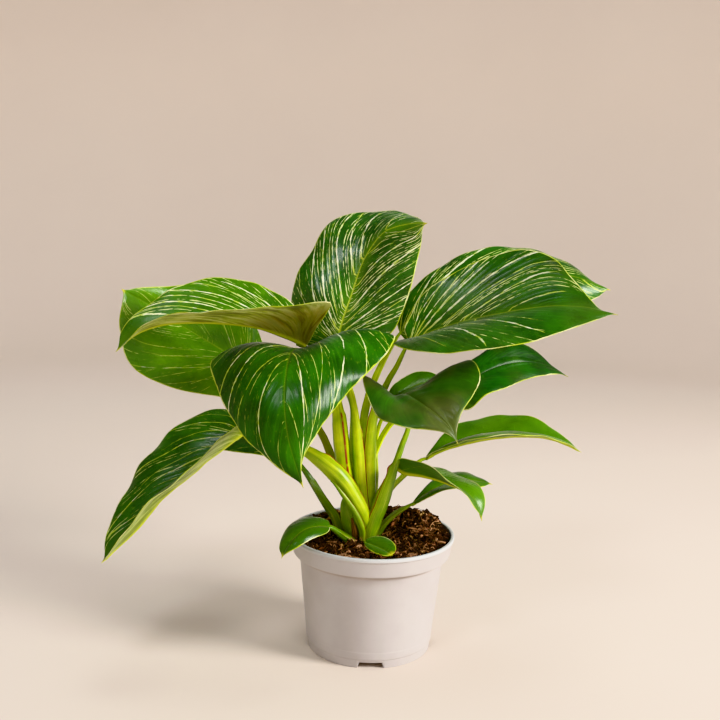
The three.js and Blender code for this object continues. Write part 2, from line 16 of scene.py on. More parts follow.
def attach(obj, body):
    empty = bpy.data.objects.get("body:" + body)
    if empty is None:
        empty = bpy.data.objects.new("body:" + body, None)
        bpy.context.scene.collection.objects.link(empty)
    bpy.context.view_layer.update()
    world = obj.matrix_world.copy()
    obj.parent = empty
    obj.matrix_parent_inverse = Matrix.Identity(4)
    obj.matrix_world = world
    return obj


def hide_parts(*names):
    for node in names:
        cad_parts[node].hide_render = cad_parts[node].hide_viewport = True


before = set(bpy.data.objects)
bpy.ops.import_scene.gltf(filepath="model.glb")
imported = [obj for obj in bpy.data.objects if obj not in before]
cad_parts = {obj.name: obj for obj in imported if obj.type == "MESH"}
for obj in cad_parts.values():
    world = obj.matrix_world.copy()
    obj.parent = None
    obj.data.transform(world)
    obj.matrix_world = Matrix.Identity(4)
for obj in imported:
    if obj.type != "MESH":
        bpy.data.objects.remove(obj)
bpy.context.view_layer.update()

# --- Driving values --------------------

MM = 0.001
TURN = 2 * math.pi
SEED = 11

CAMERA = SimpleNamespace(
    place=(-12.6, -727.4, 333.8), pitch=9.55, roll=1.8, lens=52, sensor=36, clip_start=0.05)
# Round soft lamps, in metres: where each one is, its width, power and colour, and whether gloss
# mirrors it. All of them aim at the middle of the plant.
AIM = (0, 0, 0.18)
LAMPS = {
    "key": ((1.3, -0.52, 0.8), 0.55, 30, (1, 0.97, 0.93), True),
    "front": ((-0.32, -0.88, 1.5), 0.38, 5.8, (0.95, 0.98, 1), True),
    "top": ((0.05, 0.25, 1.5), 0.7, 5, (1, 1, 1), False),
    "back": ((-0.7, 0.95, 1.35), 1, 4, (0.92, 0.97, 1), False),
}
SKY_COLOUR, SKY_STRENGTH = (0.9, 0.94, 1, 1), 0.15

POT = SimpleNamespace(
    height=85.4, rim_radius=60, lip_width=2.6, lip_height=2.6, wall=1.5,
    collar_top_radius=59.2, collar_foot_radius=57.2, collar_foot_height=71.5,
    wall_top_radius=52.3, wall_top_height=69.6, wall_foot_radius=45.6,
    foot_height=6, foot_radius=44.9, foot_width=3.2,
    floor_height=4, floor_thickness=1.8, segments=192,
)
NOTCH = SimpleNamespace(count=4, width=19, height=4.4, slope=1.5, first_azimuth=-88)
# The drain holes lie on a circle. The drill is longer than the floor is thick.
DRAIN = SimpleNamespace(count=6, radius=3.5, circle=27, drill_length=8)

SOIL = SimpleNamespace(edge_height=80, dome=3, radius=56.4, cells=150)
# Heaps on the soil: where they are, how high they rise and how far they spread.
HEAPS = [(35, 24, 8, 18), (16, 42, 7, 14), (50, 2, 4.5, 17), (-34, 34, 5, 13), (46, 30, 4, 12)]

# The blade's mesh: rows for each side vein, columns from the midrib to the margin.
ROWS_PER_VEIN = 4
COLUMNS = np.array([0, 0.012, 0.026, 0.045, 0.075, 0.12, 0.18, 0.25, 0.32, 0.39, 0.46, 0.53, 0.6,
                    0.67, 0.74, 0.8, 0.86, 0.91, 0.95, 0.98, 1])
MIDDLE = len(COLUMNS) - 1
ACROSS = np.concatenate([-COLUMNS[:0:-1], COLUMNS])  # the whole row, from margin to margin
SIDES = {"left": -1, "right": 1}
ROW_LAG = 1.6  # above 1, rows meet the midrib nearer the base than they meet the margin
STEADY_ROWS = (0.33, 0.98)  # nearer the base or the tip than these, a half arches as it does there
VEINS_PER_MM = 0.17  # side veins in each half, for each millimetre of midrib
VEIN_LEAN = 2  # how much side veins crowd towards the base where they leave the midrib
VEIN_RISE = 0.7  # below 1, side veins first run up beside the midrib and then turn outward
TIP_PINCH, TIP_REACH = 0.7, 8  # how much a blade's tip is drawn in, and over what length
THICKNESS = 0.7
# Relief: how deep side veins and the midrib's groove are, and the height and length of the
# blade's swells, of its dimples and of the ripples along its margin.
VEIN_DEPTH = 0.28
GROOVE_DEPTH = 0.55
SWELL, SWELL_LENGTH = 0.7, 46
DIMPLE, DIMPLE_LENGTH = 0.16, 13
RIPPLE, RIPPLE_LENGTH = 0.5, 31

CROWN = {"route": [(-9, -2, 56), (-9, 0, 80), (-8, 3, 97)], "widths": (19, 20, 13)}

# Each leaf's midrib and its left and right margins from base to tip, its petiole's route from the
# soil to the midrib's first point, and the petiole's widths along it. "bulge" is how far the left
# and the right half arch, as shares of their width, where that isn't BULGE.
BULGE = (0.1, 0.1)
LEAVES = {
    "low_left": {
        "rib": [(-92, -24, 162), (-106, -30, 150), (-116, -34, 143), (-125, -38, 134), (-142, -46, 121),
                (-157, -55, 102), (-170, -63, 90), (-180, -70, 81)],
        "left": [(-89, -34, 170), (-95, -44, 171), (-106, -64, 163), (-128, -78, 142), (-146, -82, 128),
                 (-162, -81, 107), (-174, -77, 89)],
        "right": [(-93, -11, 166), (-99, -3, 171), (-108, 0, 173), (-120, -3, 171), (-134, -9, 166),
                  (-145, -14, 159), (-155, -21, 147), (-163, -27, 138), (-169, -37, 124),
                  (-175, -47, 112), (-179, -58, 99)],
        "route": [(-3, -12, 88), (-5, -14, 97), (-10, -16, 108), (-16, -16.5, 118), (-23, -17, 128),
                  (-34, -17.5, 138.5), (-48, -18.5, 148.5), (-74, -22, 159)],
        "widths": (8, 10, 12, 13, 13.5, 11.5, 9, 7, 5.5),
        "bulge": (0.04, 0.12),
    },
    "front_right": {
        "rib": [(18, -8, 178), (18, -22, 188), (25, -38, 190), (38, -52, 186), (48, -60, 178),
                (54, -62, 167)],
        "left": [(35, 0, 186), (51, -4, 203), (62, -12, 215), (68, -26, 213), (69, -36, 207),
                 (64, -48, 199), (56, -56, 188), (53, -60, 178)],
        "right": [(8, -2, 184), (-4, -8, 195), (-10, -20, 204), (-8, -34, 196), (-5, -42, 189),
                  (1, -50, 181), (9, -56, 179), (20, -60, 177), (32, -62, 177), (45, -63, 175)],
        "route": [(-2, -14, 79), (-1, -15, 88), (2, -15, 99), (6, -15, 110), (10, -15, 124),
                  (14, -14, 137), (18.5, -13, 152), (23, -12, 167), (22, -11, 174)],
        "widths": (8, 9.5, 10.5, 10.5, 10, 8.5, 6, 5, 4.4, 4),
        "bulge": (0.08, 0.08),
    },
    "rim_left": {
        "rib": [(-30, -26, 96), (-38, -34, 99), (-47, -42, 99), (-55, -48, 93), (-62, -51, 81)],
        "left": [(-31, -34, 95), (-42, -47, 94), (-51, -53, 90), (-58, -54, 86)],
        "right": [(-32, -20, 99), (-45, -22, 102), (-53, -27, 101), (-59, -34, 98), (-63, -42, 92),
                  (-64, -47, 87)],
        "route": [(-9, -15, 74), (-12, -17, 81), (-21, -20, 88)],
        "widths": (6, 7.4, 7, 5.2),
    },
    "rim_front": {
        "rib": [(-5, -27, 86), (0, -32, 86), (7, -39, 85.5), (11, -44, 85), (14, -47, 84)],
        "left": [(-4.5, -24, 87), (0, -23, 89), (7, -25, 90), (13, -31, 89.5), (16, -38, 88),
                 (16, -43, 86)],
        "right": [(-5, -31, 85), (-2, -38, 84.5), (3, -44, 84), (9, -48, 84)],
        "route": [(-2, -20, 74), (-3, -22, 82)],
        "widths": (4, 3.5, 3),
        "bulge": (0.08, 0.08),
    },
    "tucked_left": {
        "rib": [(-60, 4, 139), (-83, 18, 144), (-108, 32, 144), (-133, 44, 141), (-144, 48, 137)],
        "left": [(-64, -2, 137), (-81, 2, 139), (-98, 12, 138), (-119, 28, 136)],
        "right": [(-63, 14, 146), (-85, 34, 154), (-107, 48, 154), (-127, 54, 148)],
        "route": [(-21, -2, 78), (-24, -3, 88), (-28, -3, 97), (-33, -3, 104), (-41, -2, 116),
                  (-49, -1, 128), (-55, 1, 135)],
        "widths": (6, 6.5, 6.5, 6, 5, 4),
    },
    "base_right": {
        "rib": [(28, 4, 105), (38, 8, 112), (49, 13, 117), (64, 19, 120), (80, 25, 118), (90, 28, 115)],
        "left": [(32, 8, 109), (38, 15, 114), (46, 23, 119), (59, 33, 122), (71, 35, 122),
                 (79, 34, 119), (86, 31, 117)],
        "right": [(32, 3, 106), (39, 0, 111), (51, 0, 117), (61, 2, 118), (71, 10, 117), (81, 20, 115)],
        "route": [(0, -4, 76), (3, -4, 82), (9, -3, 92), (18, 0, 100)],
        "widths": (6, 6, 5, 4.5, 4),
        "bulge": (0.08, 0.08),
    },
    "top": {
        "rib": [(-29, 2, 221), (-26, 6, 237), (-20, 13, 255), (-14, 20, 276), (-6, 23, 292),
                (0, 22, 300), (12, 18, 306), (32, 8, 309)],
        "left": [(-38, 8, 216), (-54, 16, 222), (-63, 21, 246), (-60.5, 25, 267), (-52, 32, 283),
                 (-37, 44, 307), (-24, 50, 312), (-3, 50, 315), (15, 38, 315), (25, 24, 312)],
        "right": [(-17, 6, 217), (-2, 4, 221), (10, 2, 232), (16, 2, 246), (21, 4, 261), (27, 9, 289),
                  (30, 9, 303)],
        "route": [(-5, -3, 94), (-8, -3, 112), (-11, -1, 138), (-13.5, 0, 160), (-17, 1, 182),
                  (-24, 2, 204)],
        "widths": (9, 10, 10.5, 10.5, 8.5, 6, 5),
    },
    "upper_right": {
        "rib": [(22, 0, 225), (36, -2, 232), (50, -5, 238), (72, -10, 245), (109, -20, 255),
                (138, -28, 257), (160, -32, 253)],
        "left": [(18, 2, 234), (23, 6, 245), (29, 10, 257), (52, 14, 274), (66, 16, 281), (82, 16, 288),
                 (98, 13, 292), (112, 8, 291), (122, 1, 286), (132, -10, 275), (143, -21, 262),
                 (151, -28, 255)],
        "right": [(10, -18, 226), (21, -34, 225), (37, -44, 225), (53, -49, 227), (76, -52, 231),
                  (98, -50, 235), (115, -46, 240), (132, -41, 246), (150, -35, 251)],
        "route": [(-2, 1, 95), (-3, 0, 136), (-2, 0, 168), (4.5, -1, 190), (14, -1, 209)],
        "widths": (9, 10, 10, 8.5, 7, 5),
        "bulge": (0.02, 0.1),
    },
    "front_left": {
        "rib": [(-43, 4, 208), (-52, -18, 219), (-58, -40, 222), (-60, -62, 214), (-60, -77, 197),
                (-56, -87, 173), (-46, -90, 143)],
        "left": [(-38, -3, 206), (-27, -7, 208), (-12, -9, 216), (1, -11, 226), (11, -15, 232),
                 (6, -28, 222), (-8, -46, 210), (-19, -58, 200), (-36, -76, 180), (-47, -87, 159)],
        "right": [(-57, 18, 200), (-83, 10, 204), (-105, -8, 210), (-114, -24, 213), (-110, -43, 203),
                  (-98, -62, 185), (-84, -77, 170), (-74, -83, 163), (-58, -88, 152)],
        "route": [(-13, -2, 94), (-18, -4, 117), (-22, -4, 137), (-25, -4, 161), (-28.5, -3, 183),
                  (-34, -1, 199)],
        "widths": (9, 11, 13, 13.5, 12, 8),
        "bulge": (0.15, 0.14),
    },
    "back_left": {
        "rib": [(-94, 34, 197), (-114, 42, 207), (-148, 42, 227), (-168, 30, 242), (-183, 6, 256)],
        "left": [(-85, 30, 185), (-100, 24, 177), (-124, 18, 179), (-153, 13, 186), (-177, 8, 201),
                 (-184, 4, 226), (-183, 3, 246)],
        "right": [(-85, 46, 207), (-90, 50, 224), (-105, 54, 245), (-131, 52, 257), (-151, 42, 256),
                  (-173, 20, 256)],
        "route": [(-14, 6, 92), (-22, 9, 120), (-29, 10, 133), (-40, 14, 155), (-56, 20, 173),
                  (-77, 28, 187)],
        "widths": (7, 6, 6, 5, 5),
        "bulge": (0.12, 0.12),
    },
    "twisted": {
        "rib": [(16, -6, 136), (21, -8, 132), (31, -12, 132), (42, -16, 131), (55, -21, 128),
                (65, -24, 124), (72, -27, 117), (76, -30, 105)],
        "left": [(16, 2, 136), (30, 8, 134), (48, 6, 132), (56, 4, 130), (70, -4, 127), (76, -12, 125),
                 (79, -20, 119), (78, -26, 112)],
        "right": [(15, -12, 142), (20, -20, 146), (28, -29, 147), (39, -35, 144), (49, -38, 137),
                  (57, -38, 131), (64, -37, 124), (69, -35, 117), (74, -32, 110)],
        "route": [(-1, -3, 96), (3, -3, 108), (8, -4, 121)],
        "widths": (7, 7, 6, 4.5),
        "bulge": (0.05, 0.05),
    },
    "low_right": {
        "rib": [(37, 14, 137), (48, 16, 142), (62, 18, 146), (83, 20, 151), (98, 21, 153),
                (113, 22, 154), (128, 23, 153), (143, 24, 148), (154, 24, 143)],
        "left": [(40, 17, 141), (45, 22, 147), (51, 28, 153), (62, 36, 159), (79, 40, 163),
                 (100, 40, 166), (116, 38, 166), (125, 36, 163), (137, 32, 156), (147, 28, 149)],
        "right": [(43, 10, 143), (58, -2, 153), (79, -9, 160), (93, -8, 162), (108, -4, 162),
                  (124, 4, 159), (141, 13, 152), (149, 19, 147)],
        "route": [(-2, 4, 92), (5, 5, 103), (13, 6, 116), (24, 9, 127), (34, 13, 136)],
        "widths": (6, 6, 5, 4, 4),
        "bulge": (0.05, 0.12),
    },
    "upper_left": {
        "rib": [(-51, -2, 220), (-70, -8, 228), (-85, -14, 234), (-106, -22, 237), (-127, -28, 238),
                (-149, -33, 236), (-167, -36, 228), (-177, -38, 218)],
        "left": [(-42, -20, 238), (-33, -38, 256), (-42, -44, 256), (-62, -50, 255), (-94, -56, 252),
                 (-135, -54, 247), (-157, -47, 238), (-171, -41, 223)],
        "right": [(-52, 5, 229), (-56, 8, 241), (-66, 8, 252), (-84, 5, 262), (-100, 2, 266),
                  (-113, -2, 267), (-127, -8, 265), (-144, -16, 259), (-157, -24, 250),
                  (-169, -31, 240), (-175, -35, 230)],
        "route": [(-12, 6, 95), (-16, 9, 151), (-17, 8, 177), (-24, 6, 192), (-37, 2, 207)],
        "widths": (7, 6.5, 6, 5),
        "bulge": (0.05, 0.04),
    },
    "mid_right": {
        "rib": [(54, 8, 187), (68, 18, 198), (91, 30, 207), (111, 42, 208), (130, 50, 203),
                (147, 55, 194)],
        "left": [(56, 18, 197), (69, 30, 208), (82, 40, 215), (98, 48, 218), (108, 52, 219),
                 (120, 56, 214), (129, 57, 208), (137, 57, 200)],
        "right": [(56, 2, 181), (65, -2, 178), (79, 2, 189), (94, 10, 193), (110, 24, 197),
                  (127, 38, 198), (138, 48, 197)],
        "route": [(-3, 6, 95), (-1, 8, 110), (-2, 8, 125), (0, 7, 140), (11, 6, 164), (32, 5, 180)],
        "widths": (5, 5, 4, 4),
    },
    "back_right": {
        "rib": [(16, 30, 227), (38, 42, 247), (68, 52, 262), (114, 64, 273), (151, 74, 269),
                (181, 82, 259)],
        "left": [(13, 38, 240), (24, 48, 257), (42, 60, 272), (61, 69, 283), (82, 77, 289),
                 (100, 83, 290), (116, 87, 289), (136, 88, 284), (154, 87, 275), (169, 83, 263)],
        "right": [(23, 24, 222), (45, 24, 226), (75, 32, 231), (113, 46, 242), (146, 60, 249),
                  (165, 72, 252)],
        "route": [(-7, 7, 95), (-9, 9, 143), (-8, 9, 170), (-5, 11, 184), (0, 15, 199), (10, 24, 218)],
        "widths": (7, 7, 6.5, 6, 5),
    },
    "small_back": {
        "rib": [(12, 10, 180), (21, 18, 186), (36, 26, 191), (59, 32, 187)],
        "left": [(9, 16, 185), (12, 20, 190), (18, 25, 194), (29, 30, 199), (41, 34, 198),
                 (51, 35, 192)],
        "right": [(14, 6, 183), (31, 8, 191), (45, 16, 191)],
        "route": [(-4, 8, 94), (1, 12, 112), (1, 12, 151), (4, 11, 165)],
        "widths": (5, 5, 4),
    },
}

# How each blade looks, where it differs from PLAIN_LOOK. Of two numbers, one is for its left half
# and one for its right. "fine" is the share of side veins with a fine broken stripe, "until" how
# far up the blade those go, and "sweep" how far side veins sweep up towards the tip (1 hardly, 2
# strongly). "light" is how light its green is, "rib" how pale the midrib, "clear" how much bold
# stripes cover, "white" how white they are, "margin" how broad the pale margin is and
# "painted_sheen" how strong the painted sheen on its top is: brownish-grey patches that stand in
# for gloss mirroring the backdrop. Under the blade, "pallor" is how pale it is and "brown" how
# russet its base. "soft" is how far the fold at the midrib is rounded, "gloss" how strong the gloss
# is and "matt" how spread. "bold" is the share of side veins with a stripe on a blade that STRIPES
# leaves out.
LOOKS = {
    "top": {"fine": (0.85, 0.92), "until": (0.95, 0.97), "sweep": (1.3, 2), "light": 0.14,
            "rib": 0.95, "gloss": 0.6},
    "upper_right": {"fine": (0.55, 0.22), "until": (0.72, 0.6), "sweep": (1.9, 1.9), "light": 0.12,
                    "rib": 0.25, "painted_sheen": 0.16, "clear": 0.75, "gloss": 0.26},
    # upper_left's green is set lighter, partly as its own tone and partly as a painted sheen for the
    # grey-green gloss over its top.
    "upper_left": {"fine": (0.62, 0.55), "until": (0.95, 0.9), "sweep": (1.9, 1.7), "light": 0.5,
                   "rib": 0.6, "brown": 0.52, "pallor": 1},
    "back_right": {"fine": (0.45, 0.45), "light": 0.1, "rib": 0.25, "clear": 0.8},
    "front_left": {"fine": (0.3, 0.28), "until": (0.85, 0.95), "sweep": (1.9, 1.3), "light": 0.1,
                   "rib": 0.1, "margin": 0.8, "clear": 0.82, "gloss": 0.2, "white": -0.36},
    "back_left": {"fine": (0.36, 0.3), "until": (0.9, 0.9), "sweep": (2.4, 1.5), "light": 0.85,
                  "rib": 0.2, "clear": 0.5},
    "low_left": {"fine": (0.5, 0.4), "until": (0.9, 0.9), "sweep": (1.9, 1.7), "light": 0.2,
                 "rib": 0.5, "pallor": 0.48, "white": -0.36},
    "tucked_left": {"bold": 0.1, "fine": (0.2, 0.2), "light": 0.15, "rib": 0.3},
    "front_right": {"light": 0.2, "rib": 0.1, "painted_sheen": 0.65, "soft": 0.6, "matt": 0.2},
    "mid_right": {"light": 0, "rib": 0.05, "soft": 0.9, "painted_sheen": 0.4, "matt": 0.15, "gloss": 0.2},
    "small_back": {"light": 0.35, "rib": 0.3},
    "low_right": {"light": 0.75, "rib": 0.15, "soft": 0.3},
    "twisted": {"fine": (0.1, 0.1), "light": 0.7, "rib": 0.2, "pallor": 0},
    "base_right": {"light": 0.4, "rib": 0.3},
    "rim_left": {"light": 0.45, "rib": 0.3},
    "rim_front": {"light": 0.4, "rib": 0.3},
}
PLAIN_LOOK = {"bold": 0, "fine": (0, 0), "until": (1, 1), "sweep": (1.6, 1.6), "painted_sheen": 0,
              "soft": 0.15, "pallor": 0.2, "brown": 0, "margin": 0.5, "clear": 0.95, "matt": 0,
              "gloss": 0.38, "white": -0.27}

# The bold stripes of the striped leaves, for each half: where one leaves the midrib and where it
# meets the edge, both as shares of the side veins, its width, and, where it doesn't run all the
# way, the shares of the way across at which it starts and ends.
STRIPES = {
    "top": (
        [(0.18, 0.31, 0.7), (0.28, 0.4, 1.1), (0.4, 0.47, 1.1), (0.48, 0.52, 0.5), (0.57, 0.57, 1.1),
         (0.73, 0.61, 0.8), (0.79, 0.69, 0.9), (0.9, 0.8, 0.6)],
        [(0.08, 0.18, 0.8), (0.16, 0.28, 1.1), (0.26, 0.35, 0.6), (0.35, 0.42, 1.1), (0.44, 0.54, 0.6),
         (0.54, 0.66, 1.2), (0.68, 0.83, 1), (0.8, 1.1, 0.9)],
    ),
    "upper_right": (
        [(0.07, 0.18, 0.9), (0.19, 0.25, 1), (0.28, 0.3, 0.9), (0.37, 0.41, 1.4), (0.48, 0.48, 0.5),
         (0.62, 0.54, 0.9, 0, 0.85), (0.77, 0.73, 0.8, 0, 0.6)],
        [(0.22, 0.24, 0.6, 0.3, 0.9), (0.5, 0.31, 0.9, 0, 0.95), (0.6, 0.4, 0.5, 0, 0.45),
         (0.67, 0.5, 0.8, 0, 0.9), (0.72, 0.6, 0.4, 0.2, 0.6)],
    ),
    "back_right": (
        [(0.1, 0.12, 0.7), (0.25, 0.22, 1), (0.4, 0.355, 1.3), (0.55, 0.5, 0.6), (0.75, 0.7, 0.6)],
        [(0.2, 0.3, 0.6), (0.6, 0.6, 0.6), (0.95, 0.88, 0.6)],
    ),
    "upper_left": (
        [(0.15, 0.2, 0.6), (0.3, 0.35, 0.9), (0.45, 0.5, 0.6), (0.6, 0.62, 0.8), (0.78, 0.75, 0.6)],
        [(0.06, 0.22, 0.9), (0.15, 0.37, 1.1), (0.34, 0.42, 0.5), (0.43, 0.5, 1), (0.55, 0.55, 0.6),
         (0.62, 0.61, 0.9), (0.69, 0.65, 0.5), (0.82, 0.7, 0.9)],
    ),
    "front_left": (
        [(0.1, 0.24, 0.6), (0.19, 0.34, 1.2), (0.24, 0.52, 1.5), (0.42, 0.74, 0.7), (0.68, 0.86, 1.4)],
        [(0.36, 0.38, 0.5), (0.54, 0.51, 0.8), (0.59, 0.58, 1.1), (0.69, 0.64, 0.5), (0.72, 0.82, 1.1)],
    ),
    "back_left": (
        [(0.1, 0.27, 0.7, 0.6, 1), (0.25, 0.38, 0.8, 0.4, 1), (0.38, 0.5, 0.4, 0.3, 0.8),
         (0.5, 0.55, 0.5, 0.3, 0.9)],
        [(0, 0.24, 0.6, 0.3, 1), (0.15, 0.36, 0.4, 0.2, 0.8), (0.46, 0.44, 0.6, 0.1, 0.6),
         (0.63, 0.6, 0.4, 0, 0.5)],
    ),
    "low_left": (
        [(0.3, 0.4, 0.6), (0.6, 0.65, 0.6)],
        [(0, 0.22, 0.7), (0.14, 0.28, 0.9), (0.19, 0.44, 0.5, 0, 0.8), (0.32, 0.47, 0.9),
         (0.42, 0.7, 0.5, 0.2, 0.7), (0.55, 0.74, 1), (0.83, 0.79, 0.6, 0.3, 0.9)],
    ),
}

SHEATHS = {
    "sheath_front": {
        "route": [(-7, -17, 82.5), (-7, -18, 87), (-7.5, -20, 93), (-10, -22, 100),
                  (-13.5, -23, 107), (-18, -24, 114), (-23, -24.5, 121), (-27, -24, 126),
                  (-30.5, -23, 129)],
        "widths": (4, 4.6, 5.4, 5.7, 5, 4.3, 3.5, 2.3, 1),
    },
    "sheath_left": {
        "route": [(-14, -8, 76), (-15, -9, 86), (-18, -10, 97), (-19.5, -10, 108), (-19, -10, 117)],
        "widths": (6, 9, 11, 9, 3),
    },
    "sheath_dry": {"route": [(-12, -13, 78), (-13, -14, 90), (-15, -14, 99)], "widths": (4, 4, 2)},
}
SHEATH_FACING = (0.5, 0.8, 0.3)

# A stalk's channel and the two thin wings beside it: how far up the wings go, their place and
# height, how deep the channel is between them, how flat the stalk is, and how far the small ears
# stand out in which the wings end.
STALK_LOOK = {"wing_end": 0.62, "wing_angle": 0.92, "wing": 0.16, "hollow": 0.12, "flat": 0.12,
              "ear": 0.9}
SHEATH_LOOK = {"wing_end": 1.2, "wing_angle": 1.15, "wing": 0.12, "hollow": 0.3, "flat": 0.3,
               "ear": 0}
CROWN_LOOK = {**STALK_LOOK, "wing_end": -1, "flat": 0.05}
# Petioles that differ from STALK_LOOK.
STALK_LOOKS = {"front_right": {"wing_end": 0.55, "ear": 4}, "low_left": {"wing_end": 0.5},
               "top": {"wing_end": 0.5}}
# Where a petiole's channel faces, for those that don't face as their blade does.
CHANNELS = {"front_left": (1, -0.2, 0), "top": (1, 0.38, 0), "upper_right": (-1, 0.5, 0),
            "low_left": (0.4, 1, 0.5), "front_right": (-0.9, 0.6, 0.3)}
# A stalk's mesh: points round it, the distance between its rings, and, as angles round it, where
# points are set close to a wing's middle, the wing's width and the channel's.
STALK_SIDES, RING_STEP = 36, 1.8
NEAR_WING = np.array([-0.16, -0.1, -0.05, 0, 0.05, 0.1, 0.16])
WING_WIDTH, CHANNEL_WIDTH = 0.2, 0.62
UNDER_BLADE = 7  # how far a petiole runs on under its blade

# Colours are display values of 0 to 255. These are the dark and the bright tone of each stalk.
STALK_TONES = ((170, 206, 8), (230, 246, 34))
SHEATH_TONES = ((84, 132, 10), (150, 182, 26))
CROWN_TONES = ((96, 110, 40), (150, 150, 64))
# Petioles that differ from STALK_TONES.
PETIOLE_TONES = {
    "back_left": ((104, 106, 22), (150, 142, 40)),
    "tucked_left": ((40, 90, 8), (72, 120, 16)),
    "rim_left": ((46, 98, 8), (92, 140, 20)),
    "rim_front": ((84, 132, 22), (140, 172, 44)),
    "front_right": ((112, 152, 8), (164, 194, 22)),
    "base_right": ((84, 128, 10), (140, 172, 22)),
}

# --- Numbers --------------------


def unit(vectors):
    length = np.linalg.norm(vectors, axis=-1, keepdims=True)
    return vectors / np.maximum(length, 1e-9)


def dot(a, b):
    return np.sum(a * b, axis=-1, keepdims=True)


def smooth(low, high, values):
    """0 below low and 1 above high, with a soft step between. low may be above high."""
    share = np.clip((values - low) / (high - low), 0, 1)
    return share * share * (3 - 2 * share)


def curve(points, steps=40):
    """A centripetal Catmull-Rom curve, as a function of the share of its length."""
    places = np.array(points, float)
    before = 2 * places[0] - places[1]
    after = 2 * places[-1] - places[-2]
    padded = np.vstack([before, places, after])
    share = np.linspace(0, 1, steps, endpoint=False)[:, None]
    pieces = []
    for p0, p1, p2, p3 in zip(padded, padded[1:], padded[2:], padded[3:]):
        d0, d1, d2 = (np.linalg.norm(b - a) ** 0.5 for a, b in ((p0, p1), (p1, p2), (p2, p3)))
        start = ((p1 - p0) / d0 - (p2 - p0) / (d0 + d1) + (p2 - p1) / d1) * d1
        end = ((p2 - p1) / d1 - (p3 - p1) / (d1 + d2) + (p3 - p2) / d2) * d1
        square, cube = share**2, share**3
        pieces.append(
            (2 * cube - 3 * square + 1) * p1
            + (cube - 2 * square + share) * start
            + (3 * square - 2 * cube) * p2
            + (cube - square) * end
        )
    path = np.vstack([*pieces, places[-1:]])
    travelled = np.append(0, np.cumsum(np.linalg.norm(np.diff(path, axis=0), axis=1)))

    def at(shares):
        wanted = np.clip(shares, 0, 1) * travelled[-1]
        return np.stack([np.interp(wanted, travelled, path[:, axis]) for axis in range(3)], -1)

    at.length = travelled[-1]
    return at


def wrapped(angle, period=TURN):
    """How far an angle is from the nearest whole period."""
    return np.abs((angle + period / 2) % period - period / 2)


def tangent(path, shares, reach=0.015):
    """The direction of a path at shares of its length."""
    ahead = np.minimum(shares + reach, 1)
    behind = np.maximum(shares - reach, 0)
    return unit(path(ahead) - path(behind))


def waves(points, length, seed, count=9):
    """Smooth noise of about -1 to 1, from plane waves of about that length."""
    draw = np.random.default_rng(seed)
    total = np.zeros(points.shape[:-1])
    for _ in range(count):
        direction = unit(draw.normal(size=3))
        stretch = TURN / (length * draw.uniform(0.7, 1.6))
        total += np.sin(points @ direction * stretch + draw.uniform(0, TURN))
    return total / count**0.5 / 1.4


def nearest(points, path, samples=240):
    """How far each point is from a path."""
    line = path(np.linspace(0, 1, samples))
    flat = points.reshape(-1, 3)
    best = np.full(len(flat), np.inf)
    for a, b in zip(line, line[1:]):
        step = b - a
        share = np.clip((flat - a) @ step / max(step @ step, 1e-9), 0, 1)[:, None]
        best = np.minimum(best, np.linalg.norm(flat - a - share * step, axis=1))
    return best.reshape(points.shape[:-1])


# --- Meshes --------------------


def make_piece(name, vertices, faces, attributes=None, crease=None):
    """A mesh object on the plant's one body, with smooth faces, from sizes in millimetres."""
    mesh = bpy.data.meshes.new(name)
    mesh.from_pydata(np.asarray(vertices, float) * MM, [], faces)
    for key, values in (attributes or {}).items():
        layer = mesh.attributes.new(key, "FLOAT_VECTOR", "POINT")
        layer.data.foreach_set("vector", np.asarray(values, np.float32).ravel())
    mesh.shade_smooth()
    if crease is not None:
        mesh.set_sharp_from_angle(angle=math.radians(crease))
    piece = bpy.data.objects.new(name, mesh)
    bpy.context.scene.collection.objects.link(piece)
    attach(piece, "root")
    return piece


def loft(loops, start=False, end=False):
    """Faces of a skin through loops of points, closed at its start and its end by a fan to a point.

    loops has the shape (loops, points in a loop, values). The fans' points come last."""
    count, around, _ = loops.shape
    ring = np.arange(around)
    ahead = (ring + 1) % around
    base = np.arange(count - 1)[:, None] * around
    corners = [base + ring, base + ahead, base + around + ahead, base + around + ring]
    faces = np.stack(corners, -1).reshape(-1, 4).tolist()
    total = count * around
    pairs = list(zip(ring.tolist(), ahead.tolist()))
    if start:
        faces += [(total, b, a) for a, b in pairs]
        total += 1
    if end:
        last = (count - 1) * around
        faces += [(total, last + a, last + b) for a, b in pairs]
    return faces


def with_ends(loops, start, end):
    return np.vstack([loops.reshape(-1, loops.shape[-1]), start, end])


# --- Blades --------------------


def edge_of(leaf, key):
    """The curve of a blade's left or right margin, from its base to its tip."""
    return curve([leaf["rib"][0], *leaf[key], leaf["rib"][-1]])


